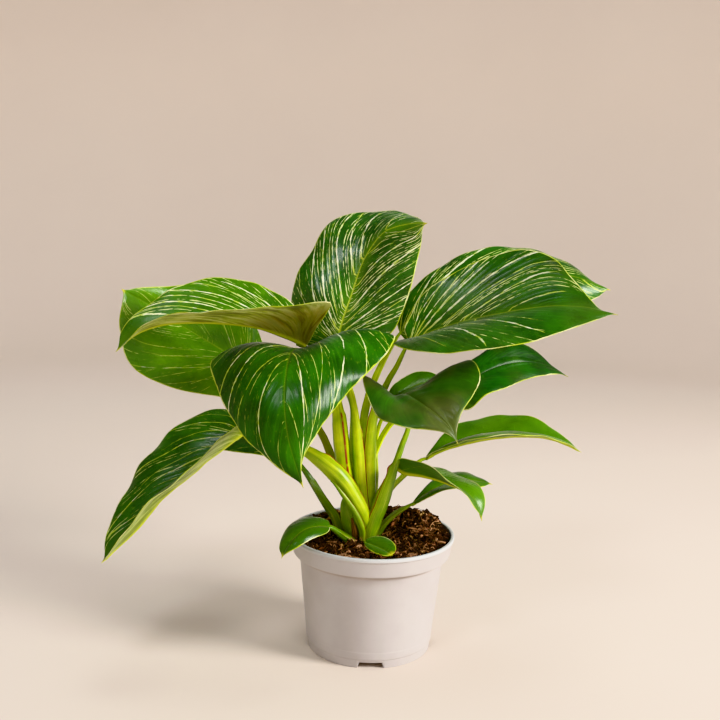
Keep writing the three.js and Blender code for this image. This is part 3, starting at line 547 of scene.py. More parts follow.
def blade_half(leaf, key, bulge, vein_shares, sweep):
    """One half of a blade's middle skin, its rows running along the side veins, and its edge."""
    rib, edge = curve(leaf["rib"]), edge_of(leaf, key)
    at_rib = vein_shares[:, None] ** VEIN_LEAN
    at_edge = 1 - (1 - vein_shares[:, None]) ** sweep
    row = at_rib + (at_edge - at_rib) * COLUMNS**VEIN_RISE
    on_rib = rib(row**ROW_LAG)
    on_edge = edge(row)
    # The last few millimetres are drawn in to a fine point.
    to_tip = np.linalg.norm(on_edge - rib(1.0), axis=-1)
    reach = min(TIP_REACH, rib.length / 12)
    drawn_in = TIP_PINCH * np.exp(-((to_tip / reach) ** 2))[..., None]
    on_edge = on_edge + drawn_in * (rib(1 - to_tip / rib.length) - on_edge)
    across = on_edge - on_rib
    steady = np.clip(row, *STEADY_ROWS)
    rib_share = steady**ROW_LAG
    steady_across = edge(steady) - rib(rib_share)
    upward = unit(np.cross(tangent(rib, rib_share), steady_across) * -SIDES[key])
    share = COLUMNS[None, :, None]
    arch = 4 * share * (1 - share) * bulge * np.linalg.norm(across, axis=-1, keepdims=True)
    return on_rib + share * across + arch * upward, edge


def both(left, right):
    """The columns of two halves in whole rows, from the left margin to the right one."""
    return np.concatenate([left[:, :0:-1], right], axis=1)


def rounding(reach):
    """Weights that round a row of the blade at its midrib, over that share of its half width."""
    span = reach * (1 - np.abs(ACROSS))
    weights = np.zeros((len(ACROSS), len(ACROSS)))
    for step, part in zip((-1, -0.5, 0, 0.5, 1), (1, 4, 6, 4, 1)):
        for k, unit_row in enumerate(np.eye(len(ACROSS))):
            weights[:, k] += part / 16 * np.interp(ACROSS + span * step, ACROSS, unit_row)
    return weights


def blade_up(leaf):
    """The upward direction of a blade's two halves together, some way up from its base."""
    rib = curve(leaf["rib"])
    row = STEADY_ROWS[0]
    share = row**ROW_LAG
    total = np.zeros(3)
    for key, side in SIDES.items():
        across = edge_of(leaf, key)(row) - rib(share)
        total += unit(np.cross(tangent(rib, share), across) * -side)
    return unit(total)


def draw_stripes(share, veins, seed):
    """Thin stripes on a share of the side veins, at random, in the form that STRIPES has."""
    draw = np.random.default_rng(seed)
    lines = []
    for k in range(1, veins):
        if draw.random() < share:
            place = (k + draw.uniform(-0.3, 0.3)) / veins
            lines.append((place, place, 0.25 + 0.25 * draw.random() ** 2))
    return lines or [(0.5, 0.5, 0)]


def stripe_field(lines, vein_shares):
    """Which stripe each place of a half blade is nearest to, as a number that is whole on one, and
    how wide that stripe is there."""
    lines = [(*line, 0, 1)[:5] for line in lines]
    # A stripe of no width is set beyond each end.
    first, last = lines[0], lines[-1]
    lines = np.array([(first[0] - 0.3, first[1] - 0.3, 0, 0, 1), *lines,
                      (last[0] + 0.3, last[1] + 0.3, 0, 0, 1)])
    numbers = np.arange(len(lines))
    at_rib, at_edge, width, start, end = (value[:, None] for value in lines.T)
    places = at_rib + (at_edge - at_rib) * COLUMNS
    started = np.where(start > 0, smooth(-0.08, 0.04, COLUMNS - start), 1)
    ended = np.where(end < 1, smooth(0.04, -0.12, COLUMNS - end), 1)
    widths = width * started * ended
    number, wide = [], []
    for place, across in zip(places.T, widths.T):
        number.append(np.interp(vein_shares, place, numbers))
        wide.append(np.interp(number[-1], numbers, across))
    return np.stack(number, -1), np.stack(wide, -1)


def make_blade(name, leaf, look, seed):
    look = {**PLAIN_LOOK, **look}
    veins = max(8, round(curve(leaf["rib"]).length * VEINS_PER_MM))
    vein_shares = np.linspace(0, 1, veins * ROWS_PER_VEIN + 1)
    (left, left_edge), (right, right_edge) = (
        blade_half(leaf, key, bulge, vein_shares, sweep)
        for key, bulge, sweep in zip(SIDES, leaf.get("bulge", BULGE), look["sweep"]))
    skin = np.einsum("ij,rjk->rik", rounding(look["soft"]), both(left, right))
    grid = skin.shape[:2]
    rib = curve(skin[::ROWS_PER_VEIN, MIDDLE])
    along = np.gradient(skin, axis=0)
    across = np.gradient(skin, axis=1)
    normal = unit(np.cross(across, along))
    normal[0] = normal[1]
    normal[-1] = normal[-2]

    # Sizes on the blade that its relief and its colours follow.
    to_rib = nearest(skin, rib)
    to_edge = np.concatenate(
        [nearest(skin[:, :MIDDLE], left_edge), nearest(skin[:, MIDDLE:], right_edge)], axis=1)
    to_edge[:, [0, -1]] = 0
    to_tip = np.linalg.norm(skin - skin[-1, MIDDLE], axis=-1)
    from_base = np.linalg.norm(skin - skin[0, MIDDLE], axis=-1)
    vein = np.broadcast_to((vein_shares * veins)[:, None], grid)
    outward = unit(across)
    spacing = (along - dot(along, outward) * outward) * ROWS_PER_VEIN
    gap = np.linalg.norm(spacing, axis=-1)
    steps = np.linalg.norm(np.diff(skin, axis=1), axis=-1)
    run = np.zeros(grid)
    run[:, MIDDLE + 1 :] = np.cumsum(steps[:, MIDDLE:], axis=1)
    run[:, :MIDDLE] = np.cumsum(steps[:, :MIDDLE][:, ::-1], axis=1)[:, ::-1]

    fields = []
    for k in (0, 1):
        lines = STRIPES[name][k] if name in STRIPES else draw_stripes(look["bold"], veins, seed + k)
        fields.append(stripe_field(lines, vein_shares))
    stripe_number, stripe_width = (both(*halves) for halves in zip(*fields))
    stripe_gap = gap / ROWS_PER_VEIN / np.maximum(np.gradient(stripe_number, axis=0), 1e-3)

    # Relief: sunken side veins, soft swells, a wavy margin. A small blade's is slighter.
    half_width = np.maximum(to_rib + to_edge, 1)
    open_share = smooth(1.5, 5, gap) * smooth(0, 4, to_edge) * smooth(0, 5, to_rib)
    relief = -VEIN_DEPTH * open_share * smooth(0.3, 0, np.abs(vein % 1 - 0.5))
    outness = np.abs(ACROSS)
    fade = smooth(0, 18, from_base) * smooth(0, 12, to_tip)
    relief += SWELL * waves(skin, SWELL_LENGTH, seed) * outness**0.7 * fade
    relief += DIMPLE * waves(skin, DIMPLE_LENGTH, seed + 1) * fade
    ripple = np.sin(run_along(skin) * TURN / RIPPLE_LENGTH + seed)
    relief += RIPPLE * ripple * outness**6 * fade * smooth(0, 25, half_width)
    skin = skin + normal * relief[..., None] * min(1, rib.length / 80)

    # The top has a groove over the midrib, and the under side a keel that thins to the tip.
    taper = np.clip(to_tip / rib.length, 0, 1)
    groove = GROOVE_DEPTH * (1 - look["soft"]) * taper * np.exp(-((to_rib / 0.9) ** 2))
    keel_width = 0.7 + 1.3 * taper
    keel = (0.3 + 1.9 * taper) * np.exp(-((to_rib / keel_width) ** 2)) * smooth(0, 4, to_tip)
    half_thick = THICKNESS / 2 * (1 - 0.55 * smooth(3, 0, to_edge))
    top = skin + normal * (half_thick - groove)[..., None]
    under = skin - normal * (half_thick + keel)[..., None]
    beyond = unit(across) * 0.12
    left_rim = skin[:, :1] - beyond[:, :1]
    right_rim = skin[:, -1:] + beyond[:, -1:]
    loops = np.concatenate([top, right_rim, under[:, ::-1], left_rim], axis=1)[1:-1]

    def around(values, under_values=None):
        turned = values if under_values is None else under_values
        return np.concatenate([values, values[:, -1:], turned[:, ::-1], values[:, :1]], 1)[1:-1]

    side = np.broadcast_to(np.sign(ACROSS), grid)
    below = around(np.zeros(grid), np.ones(grid))
    stripes = (stripe_number, stripe_gap, stripe_width)
    # Each attribute's three values over the loops, at the base and at the tip.
    attributes = {
        key: with_ends(np.stack(list(parts), -1), base, tip)
        for key, parts, base, tip in (
            ("leaf_lines", map(around, (vein, gap, run)), (0, 0, 0), (veins, 0, 0)),
            ("leaf_reach", map(around, (to_edge, to_rib, to_tip)), (0, 0, rib.length), (0, 0, 0)),
            ("leaf_side", (around(side), below, around(from_base)), (0, 0.5, 0),
             (0, 0, rib.length)),
            ("leaf_stripes", map(around, stripes), (0, 1, 0), (0, 1, 0)),
        )
    }
    vertices = with_ends(loops, skin[0, MIDDLE], skin[-1, MIDDLE])
    piece = make_piece("leaf_" + name, vertices, loft(loops, True, True), attributes)
    piece.data.materials.append(leaf_material(name, look, veins, seed))
    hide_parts("blade_" + name)
    return piece


def run_along(skin):
    """How far each row's places lie from the base, along the blade."""
    steps = np.linalg.norm(np.diff(skin, axis=0), axis=-1)
    return np.vstack([np.zeros(skin.shape[1]), np.cumsum(steps, axis=0)])


# --- Stalks --------------------


def make_stalk(name, node, route, widths, facing, look, seed):
    """A petiole or a sheath: a stalk with a shallow channel between two thin wings."""
    path = curve(route)
    shares = np.linspace(0, 1, max(10, int(path.length / RING_STEP)))
    places = path(shares)
    along = tangent(path, shares, 0.03)
    channel = unit(facing - dot(facing[None], along) * along)
    beside = np.cross(along, channel)
    half = np.interp(shares, np.linspace(0, 1, len(widths)), widths) / 2
    half = half * (1 + 0.03 * waves(places, 22, seed))
    even = np.arange(STALK_SIDES) * TURN / STALK_SIDES
    near_wing = look["wing_angle"] + NEAR_WING
    angle = np.sort(np.concatenate([even, near_wing, TURN - near_wing]))
    turn = wrapped(angle)
    wing_end = look["wing_end"]
    wing_share = smooth(wing_end + 0.03, wing_end - 0.01, shares)
    # Each wing ends in a small ear.
    wing_share = wing_share * (1 + look["ear"] * np.exp(-(((shares - wing_end + 0.02) / 0.03) ** 2)))
    from_wing = turn - look["wing_angle"]
    wing = np.exp(-((from_wing / WING_WIDTH) ** 2))[None] * wing_share[:, None] * look["wing"]
    depth = 0.1 + look["hollow"] * wing_share[:, None]
    hollow = np.exp(-((turn / CHANNEL_WIDTH) ** 4))[None] * depth
    ribs = 0.012 * np.sin(angle * 9 + seed)[None] * half[:, None]
    radius = half[:, None] * (1 + wing - hollow) + ribs
    loops = (
        places[:, None]
        + channel[:, None] * (np.cos(angle)[None] * radius * (1 - look["flat"]))[..., None]
        + beside[:, None] * (np.sin(angle)[None] * radius)[..., None]
    )
    loops = loops + 0.12 * waves(loops, 9, seed + 5)[..., None] * unit(loops - places[:, None])
    winged = np.minimum(wing_share, 1)[:, None]
    edge = np.exp(-((from_wing / 0.14) ** 2))[None] * winged
    inside = smooth(0.1, -0.15, from_wing)[None] * winged
    travelled = shares * path.length
    skin = (angle[None] * half.mean(), travelled[:, None], shares[:, None])
    wings = (edge, inside, turn[None] / math.pi)
    nothing = (0, 0, 0)
    attributes = {
        key: with_ends(np.stack(np.broadcast_arrays(*values), -1), nothing, end)
        for key, values, end in (("stalk_skin", skin, (0, path.length, 1)),
                                 ("stalk_wing", wings, nothing))
    }
    end = places[-1] + along[-1] * half[-1] * 0.5
    piece = make_piece(name, with_ends(loops, places[0], end), loft(loops, True, True), attributes)
    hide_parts(node)
    return piece


def make_petiole(name, leaf, seed):
    up = blade_up(leaf)
    facing = np.array(CHANNELS[name]) if name in CHANNELS else up
    rib = curve(leaf["rib"])
    # The petiole runs on under the blade as the start of its midrib.
    reach = min(UNDER_BLADE / rib.length, 0.12)
    onward = rib(np.array([reach * 0.5, reach])) - up * np.array([[0.9], [1.0]])
    route = [*leaf["route"], leaf["rib"][0], *onward]
    widths = [*leaf["widths"], leaf["widths"][-1] * 0.75, 1.6]
    look = {**STALK_LOOK, **STALK_LOOKS.get(name, {})}
    piece = make_stalk("petiole_" + name + "_stalk", "petiole_" + name, route, widths, facing, look,
                       seed)
    tones = PETIOLE_TONES.get(name, STALK_TONES)
    red_share = 1 if name in CHANNELS else 0.2
    piece.data.materials.append(petiole_material("petiole " + name, seed, tones, 0, red_share))
    return piece


# --- Soil --------------------


def soil_height(x, y):
    share = np.hypot(x, y) / SOIL.radius
    height = SOIL.edge_height + SOIL.dome * (1 - share**2)
    for heap_x, heap_y, rise, spread in HEAPS:
        height = height + rise * np.exp(-((x - heap_x) ** 2 + (y - heap_y) ** 2) / spread**2)
    flat = np.stack([x, y, x * 0], -1)
    clods = 1.1 * waves(flat, 15, SEED, 12) + 1.3 * waves(flat, 8, SEED + 1, 14)
    clods = clods + 1.9 * np.abs(waves(flat, 4.6, SEED + 2, 16)) + 0.9 * waves(flat, 2.4, SEED + 3, 16)
    # The soil is smoother where it meets the pot.
    return height + clods * (0.35 + 0.65 * smooth(1.0, 0.93, share))


def make_soil():
    """The soil's rough surface on a square grid stretched over a disc, with sides and a floor."""
    cells = SOIL.cells
    line = np.linspace(-1, 1, cells + 1)
    x, y = np.meshgrid(line, line, indexing="ij")
    radius = np.maximum(np.abs(x), np.abs(y))
    flat_length = np.maximum(np.hypot(x, y), 1e-9)
    x = x * radius / flat_length * SOIL.radius
    y = y * radius / flat_length * SOIL.radius
    vertices = np.stack([x, y, soil_height(x, y)], -1).reshape(-1, 3)
    index = np.arange((cells + 1) ** 2).reshape(cells + 1, cells + 1)
    corners = [index[:-1, :-1], index[1:, :-1], index[1:, 1:], index[:-1, 1:]]
    faces = np.stack(corners, -1).reshape(-1, 4).tolist()
    border = np.concatenate([index[:-1, 0], index[-1, :-1], index[:0:-1, -1], index[0, :0:-1]])
    directions = unit(vertices[border] * np.array([1, 1, 0]))
    floor = POT.floor_height + POT.floor_thickness + 0.3
    sides = [(POT.collar_foot_radius - 2.3, POT.collar_foot_height + 2.5),
             (POT.wall_top_radius - 2.1, POT.wall_top_height + 1.5),
             (POT.wall_foot_radius - 3.2, floor)]
    previous = border
    total = len(vertices)
    for ring_radius, height in sides:
        ring = directions * ring_radius + np.array([0, 0, height])
        current = np.arange(total, total + len(border))
        vertices = np.vstack([vertices, ring])
        corners = [previous, current, np.roll(current, -1), np.roll(previous, -1)]
        faces += np.stack(corners, -1).tolist()
        previous = current
        total += len(border)
    faces.append(previous[::-1].tolist())
    return make_piece("soil_surface", vertices, faces)


def ball(rings=4, sides=6):
    """A coarse closed ball of radius 1, as vertices and triangles."""
    vertices = [(0, 0, 1)]
    for i in range(1, rings):
        tilt = math.pi * i / rings
        for k in range(sides):
            turn = TURN * (k + i * 0.5) / sides
            vertices.append((math.sin(tilt) * math.cos(turn), math.sin(tilt) * math.sin(turn),
                             math.cos(tilt)))
    vertices.append((0, 0, -1))
    faces = []
    last = len(vertices) - 1
    for k in range(sides):
        ahead = (k + 1) % sides
        faces.append((0, 1 + k, 1 + ahead))
        for i in range(rings - 2):
            a, b = 1 + i * sides + k, 1 + i * sides + ahead
            faces.append((a, a + sides, b))
            faces.append((b, a + sides, b + sides))
        faces.append((last, last - sides + ahead, last - sides + k))
    return np.array(vertices, float), np.array(faces)


def somewhere(draw, margin):
    """A place on the soil at random, no nearer to its edge than margin."""
    radius = (SOIL.radius - margin) * math.sqrt(draw.random())
    turn = draw.uniform(0, TURN)
    return radius * np.array([math.cos(turn), math.sin(turn)])


def make_crumbs(count=4200):
    """Crumbs of peat and bark on the soil, larger ones fewer, in one mesh."""
    draw = np.random.default_rng(SEED + 20)
    shape, triangles = ball()
    vertices, faces, tints = [], [], []
    for _ in range(count):
        x, y = somewhere(draw, margin=2.5)
        size = 0.4 + 1.5 * draw.random() ** 3
        stretch = np.array([draw.uniform(0.9, 3.0), draw.uniform(0.5, 1.1), draw.uniform(0.3, 0.8)])
        lumps = 1 + 0.28 * draw.normal(size=len(shape)).clip(-1.5, 1.5)
        local = shape * lumps[:, None] * stretch * size
        spin, tip = draw.uniform(0, TURN), draw.normal(0, 0.7)
        turned = np.array([
            [math.cos(spin), -math.sin(spin) * math.cos(tip), math.sin(spin) * math.sin(tip)],
            [math.sin(spin), math.cos(spin) * math.cos(tip), -math.cos(spin) * math.sin(tip)],
            [0, math.sin(tip), math.cos(tip)],
        ])
        centre = np.array([x, y, soil_height(x, y) + size * 0.3])
        faces.append(triangles + len(vertices) * len(shape))
        vertices.append(local @ turned.T + centre)
        tints.append(np.broadcast_to([draw.random(), draw.random(), 0], (len(shape), 3)))
    return make_piece("soil_crumbs", np.vstack(vertices), np.vstack(faces).tolist(),
                      {"crumb": np.vstack(tints)}, crease=50)


def make_fibres(count=700, sides=4, steps=9):
    """Root and coir fibres that lie over the soil, in one mesh."""
    draw = np.random.default_rng(SEED + 30)
    angle = np.arange(sides) * TURN / sides
    vertices, faces, tints = [], [], []
    total = 0
    for _ in range(count):
        place = somewhere(draw, margin=5)
        heading, bend = draw.uniform(0, TURN), draw.normal(0, 0.22)
        length = draw.uniform(3, 11)
        thick = draw.uniform(0.12, 0.34)
        line = []
        for _ in range(steps):
            line.append(place.copy())
            heading += bend + draw.normal(0, 0.16)
            place = place + np.array([math.cos(heading), math.sin(heading)]) * length / steps
        line = np.array(line)
        line = line[np.hypot(*line.T) < SOIL.radius - 1.5]
        if len(line) < 4:
            continue
        lift = np.sin(np.linspace(0, math.pi, len(line))) * draw.uniform(0.1, 2.4)
        spine = np.column_stack([line, soil_height(*line.T) + lift + thick * 0.5])
        along = unit(np.gradient(spine, axis=0))
        beside = unit(np.cross(along, [0, 0, 1.0]))
        above = np.cross(beside, along)
        loops = spine[:, None] + thick * (
            beside[:, None] * np.cos(angle)[None, :, None]
            + above[:, None] * np.sin(angle)[None, :, None]
        )
        loops = loops[:, ::-1]  # so that its faces look outward
        points = with_ends(loops, spine[0], spine[-1])
        faces += [tuple(corner + total for corner in face) for face in loft(loops, True, True)]
        total += len(points)
        vertices.append(points)
        tint = [0.55 + 0.45 * draw.random(), draw.random(), 0]
        tints.append(np.broadcast_to(tint, (len(points), 3)))
    return make_piece("soil_fibres", np.vstack(vertices), faces, {"crumb": np.vstack(tints)})


# --- Pot --------------------


def rounded(corners):
    """A profile with each corner that has a radius turned into an arc of short steps."""
    points = []
    for k, (radius, height, round_by) in enumerate(corners):
        here = np.array([radius, height], float)
        if round_by == 0:
            points.append(here)
            continue
        back = np.array(corners[k - 1][:2], float) - here
        ahead = np.array(corners[k + 1][:2], float) - here
        back, ahead = (unit(v) * min(round_by, np.linalg.norm(v) * 0.48) for v in (back, ahead))
        for share in np.linspace(0, 1, 6):
            points.append(here + back * (1 - share) ** 2 + ahead * share**2)
    return np.array(points)


def make_pot():
    """The pot as a turned shell. Notches lift the foot's edge, and drain holes go through."""
    floor_top = POT.floor_height + POT.floor_thickness
    lip_bottom = POT.height - POT.lip_height
    wall = POT.wall
    foot_inside = POT.foot_radius - POT.foot_width
    wall_height = POT.wall_top_height - POT.foot_height
    wall_slope = (POT.wall_top_radius - POT.wall_foot_radius) / wall_height
    ring_low, ring_high = 11.5, 12.3
    axis = 0.01  # the radius at which the shell closes
    outside = [
        (axis, POT.floor_height, 0),
        (foot_inside - 1, POT.floor_height, 0.6),
        (foot_inside, 0, 0.3),
        (POT.foot_radius, 0, 0.5),
        (POT.wall_foot_radius - 0.15, POT.foot_height, 0.3),
        (POT.wall_foot_radius + 0.35, POT.foot_height + 0.7, 0.4),
        (POT.wall_foot_radius + 0.25 + wall_slope * 5, ring_low, 0.3),
        (POT.wall_foot_radius + 0.1 + wall_slope * 6, ring_high, 0.3),
        (POT.wall_top_radius, POT.wall_top_height, 1.2),
        (POT.collar_foot_radius - 0.5, POT.collar_foot_height - 0.5, 0.8),
        (POT.collar_foot_radius + 0.05, POT.collar_foot_height + 0.6, 0.5),
        (POT.collar_top_radius - 0.2, lip_bottom - 0.6, 0.6),
        (POT.rim_radius, lip_bottom + 0.2, 0.6),
        (POT.rim_radius, POT.height, 1.0),
    ]
    inside = [
        (POT.rim_radius - POT.lip_width, POT.height, 0.9),
        (POT.collar_top_radius - wall - 0.2, lip_bottom - 1, 0.8),
        (POT.collar_foot_radius - wall, POT.collar_foot_height + wall, 1.0),
        (POT.wall_top_radius - wall, POT.wall_top_height + 0.8, 1.0),
        (POT.wall_foot_radius - wall, floor_top + 1, 1.0),
        (POT.wall_foot_radius - wall - 1.5, floor_top, 0.8),
        (axis, floor_top, 0),
    ]
    profile = rounded(outside + inside)
    # The notches' corners get their own places round the pot, with no other close to them.
    least_space = 0.01
    half = NOTCH.width / 2 / POT.foot_radius
    slope = NOTCH.slope / POT.foot_radius
    first = math.radians(NOTCH.first_azimuth)
    notch_edges = []
    for k in range(NOTCH.count):
        middle = first + TURN * k / NOTCH.count
        notch_edges += [middle - half, middle - half + slope, middle + half - slope, middle + half]
    turns = np.linspace(0, TURN, POT.segments, endpoint=False)
    edges = np.mod(notch_edges, TURN)
    spaced = wrapped(turns[:, None] - edges).min(1)
    turns = np.sort(np.concatenate([turns[spaced > least_space], edges]))
    from_notch = wrapped(turns - first, TURN / NOTCH.count)
    lift = np.clip((half - from_notch) / slope, 0, 1) * NOTCH.height
    below = (profile[:, 1] < NOTCH.height) & (np.arange(len(profile)) < len(profile) / 2)
    heights = np.where(below[:, None], np.maximum(profile[:, 1:], lift), profile[:, 1:])
    radii = np.broadcast_to(profile[:, :1], heights.shape)
    loops = np.stack([radii * np.cos(turns), radii * np.sin(turns), heights], -1)
    last = (len(loops) - 1) * len(turns)
    ends = [list(range(len(turns)))[::-1], list(range(last, last + len(turns)))]
    faces = loft(loops) + ends
    piece = make_piece("pot_shell", loops.reshape(-1, 3), faces, crease=38)
    for k in range(DRAIN.count):
        turn = TURN * k / DRAIN.count
        place = (DRAIN.circle * MM * math.cos(turn), DRAIN.circle * MM * math.sin(turn),
                 POT.floor_height * MM)
        bpy.ops.mesh.primitive_cylinder_add(
            vertices=24, radius=DRAIN.radius * MM, depth=DRAIN.drill_length * MM, location=place)
        drill = bpy.context.object
        cut = piece.modifiers.new("drain", "BOOLEAN")
        cut.operation, cut.object, cut.solver = "DIFFERENCE", drill, "EXACT"
        apply_modifiers(piece)
        bpy.data.objects.remove(drill)
    piece.data.materials.append(pot_material())
    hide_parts("pot")
    return piece


def apply_modifiers(piece):
    """Makes the mesh that a piece's modifiers give its own mesh."""
    graph = bpy.context.evaluated_depsgraph_get()
    made = bpy.data.meshes.new_from_object(piece.evaluated_get(graph))
    piece.modifiers.clear()
    piece.data = made


# --- Materials --------------------


def srgb(red, green, blue):
    """A colour given in display values of 0 to 255, as Blender's linear colour."""
    parts = [value / 255 for value in (red, green, blue)]
    linear = [((p + 0.055) / 1.055) ** 2.4 if p > 0.04 else p / 12.92 for p in parts]
    return (*linear, 1)


class Surface:
    """A material's node tree, with short calls for the nodes used here.

    A value is a node's output, a number, or a tuple of display values for a colour."""

    def __init__(self, name, roughness, **constants):
        self.material = bpy.data.materials.new(name.replace("_", " "))
        self.material.use_nodes = True
        self.tree = self.material.node_tree
        self.shader = self.tree.nodes["Principled BSDF"]
        self.shader.inputs["Roughness"].default_value = roughness
        for key, value in constants.items():
            self.shader.inputs[key.replace("_", " ")].default_value = value

    def put(self, value, socket):
        if isinstance(value, bpy.types.NodeSocket):
            self.tree.links.new(value, socket)
        else:
            socket.default_value = srgb(*value) if isinstance(value, tuple) else value

    def add(self, kind, *values, **settings):
        node = self.tree.nodes.new("ShaderNode" + kind)
        for key, value in settings.items():
            setattr(node, key, value)
        for value, socket in zip(values, node.inputs):
            self.put(value, socket)
        return node

    def add_named(self, kind, values, **settings):
        """A node whose inputs are named, and its first output."""
        node = self.add(kind, **settings)
        for key, value in values.items():
            self.put(value, node.inputs[key])
        return node.outputs[0]

    def math(self, operation, *values):
        return self.add("Math", *values, operation=operation).outputs[0]

    def plus(self, a, b):
        return self.math("ADD", a, b)

    def minus(self, a, b):
        return self.math("SUBTRACT", a, b)

    def times(self, a, b):
        return self.math("MULTIPLY", a, b)

    def scaled(self, value, by, plus=0):
        return self.math("MULTIPLY_ADD", value, by, plus)

    def attribute(self, name):
        vector = self.add("Attribute", attribute_name=name).outputs["Vector"]
        return self.add("SeparateXYZ", vector).outputs

    def vector(self, x, y, z):
        return self.add("CombineXYZ", x, y, z).outputs[0]

    def place(self):
        return self.add("TexCoord").outputs["Object"]

    def noise(self, vector, scale=1, detail=2, roughness=0.5):
        return self.add_named("TexNoise", {"Vector": vector, "Scale": scale, "Detail": detail,
                                           "Roughness": roughness})

    def streaks(self, x, x_pace, y, y_pace, seed, detail=2, roughness=0.5):
        """Noise that changes at its own pace along each of two values."""
        at = self.vector(self.scaled(x, x_pace), self.scaled(y, y_pace), seed)
        return self.noise(at, 1, detail, roughness)

    def random(self, *numbers):
        """Three random numbers for each whole-number place."""
        node = self.add("TexWhiteNoise", self.vector(*numbers))
        return self.add("SeparateColor", node.outputs["Color"]).outputs

    def band(self, value, low, high):
        """0 below low and 1 above high, with a soft step between. low may be above high."""
        return self.add_named("MapRange", {"Value": value, "From Min": low, "From Max": high},
                              interpolation_type="SMOOTHSTEP")

    def mix(self, factor, a, b):
        node = self.add("Mix", data_type="RGBA")
        self.put(factor, node.inputs["Factor"])
        self.put(a, node.inputs[6])
        self.put(b, node.inputs[7])
        return node.outputs[2]

    def coat(self, base, colour, value, low, high, most=1):
        """A colour over the base: none of it where value is low, and most where it is high."""
        return self.mix(self.scaled(self.band(value, low, high), most), base, colour)

    def bump(self, height, distance, strength, under=None):
        values = {"Strength": strength, "Distance": distance * MM, "Height": height}
        if under is not None:
            values["Normal"] = under
        return self.add_named("Bump", values)

    def finish(self, colour, normal, roughness=None):
        self.put(colour, self.shader.inputs["Base Color"])
        self.put(normal, self.shader.inputs["Normal"])
        if roughness is not None:
            self.put(roughness, self.shader.inputs["Roughness"])
        return self.material


def stripe(s, cell, distance, half, run, seed, broken, pace):
    """A mask of stripes that run along the veins, each with its own number, from how far a place is
    from its stripe's middle and half that stripe's width. broken, from 0 to 1, is how much is
    missing, and pace is how often a stripe swells and breaks, for each millimetre."""
    swell = s.streaks(run, pace, cell, 7.3, seed + 3)
    beads = s.streaks(run, 0.28, cell, 5.1, seed + 5)
    uneven = s.plus(s.band(swell, broken * 0.5, broken * 0.5 + 0.35), s.scaled(beads, 2.2, -1.1))
    half = s.times(half, s.math("MAXIMUM", uneven, 0))
    line = s.band(s.minus(distance, half), 0.12, -0.08)
    return s.times(line, s.band(half, 0.01, 0.12))


def placed_stripes(s, side, run, to_rib, seed):
    """The blade's bold stripes, at the places its mesh carries, and how wide they are."""
    number, gap, width = s.attribute("leaf_stripes")
    cell = s.math("FLOOR", s.plus(number, 0.5))
    kind = s.plus(cell, s.scaled(side, 50))
    drift = s.streaks(run, 0.05, kind, 3.7, seed)
    off = s.times(s.minus(number, cell), gap)
    distance = s.math("ABSOLUTE", s.plus(off, s.scaled(drift, 2, -1)))
    line = stripe(s, kind, distance, s.scaled(width, 0.45), run, seed, 0.4, 0.07)
    return s.times(line, s.band(to_rib, 0.2, 1.2)), width


def fine_stripes(s, vein, gap, run, seed, share, width):
    """Thin broken stripes on a share of the veins, at random, as wide as width's range."""
    cell = s.math("FLOOR", vein)
    first, second, third = s.random(cell, seed, 0.5)
    drift = s.streaks(run, 0.045, cell, 3.7, seed)
    centre = s.plus(s.scaled(third, 0.5), s.scaled(drift, 0.5))
    offset = s.math("ABSOLUTE", s.minus(s.math("FRACT", vein), centre))
    half = s.scaled(s.times(second, second), (width[1] - width[0]) / 2, width[0] / 2)
    line = stripe(s, cell, s.times(offset, gap), half, run, seed, 0.66, 0.12)
    return s.times(line, s.math("LESS_THAN", first, share))


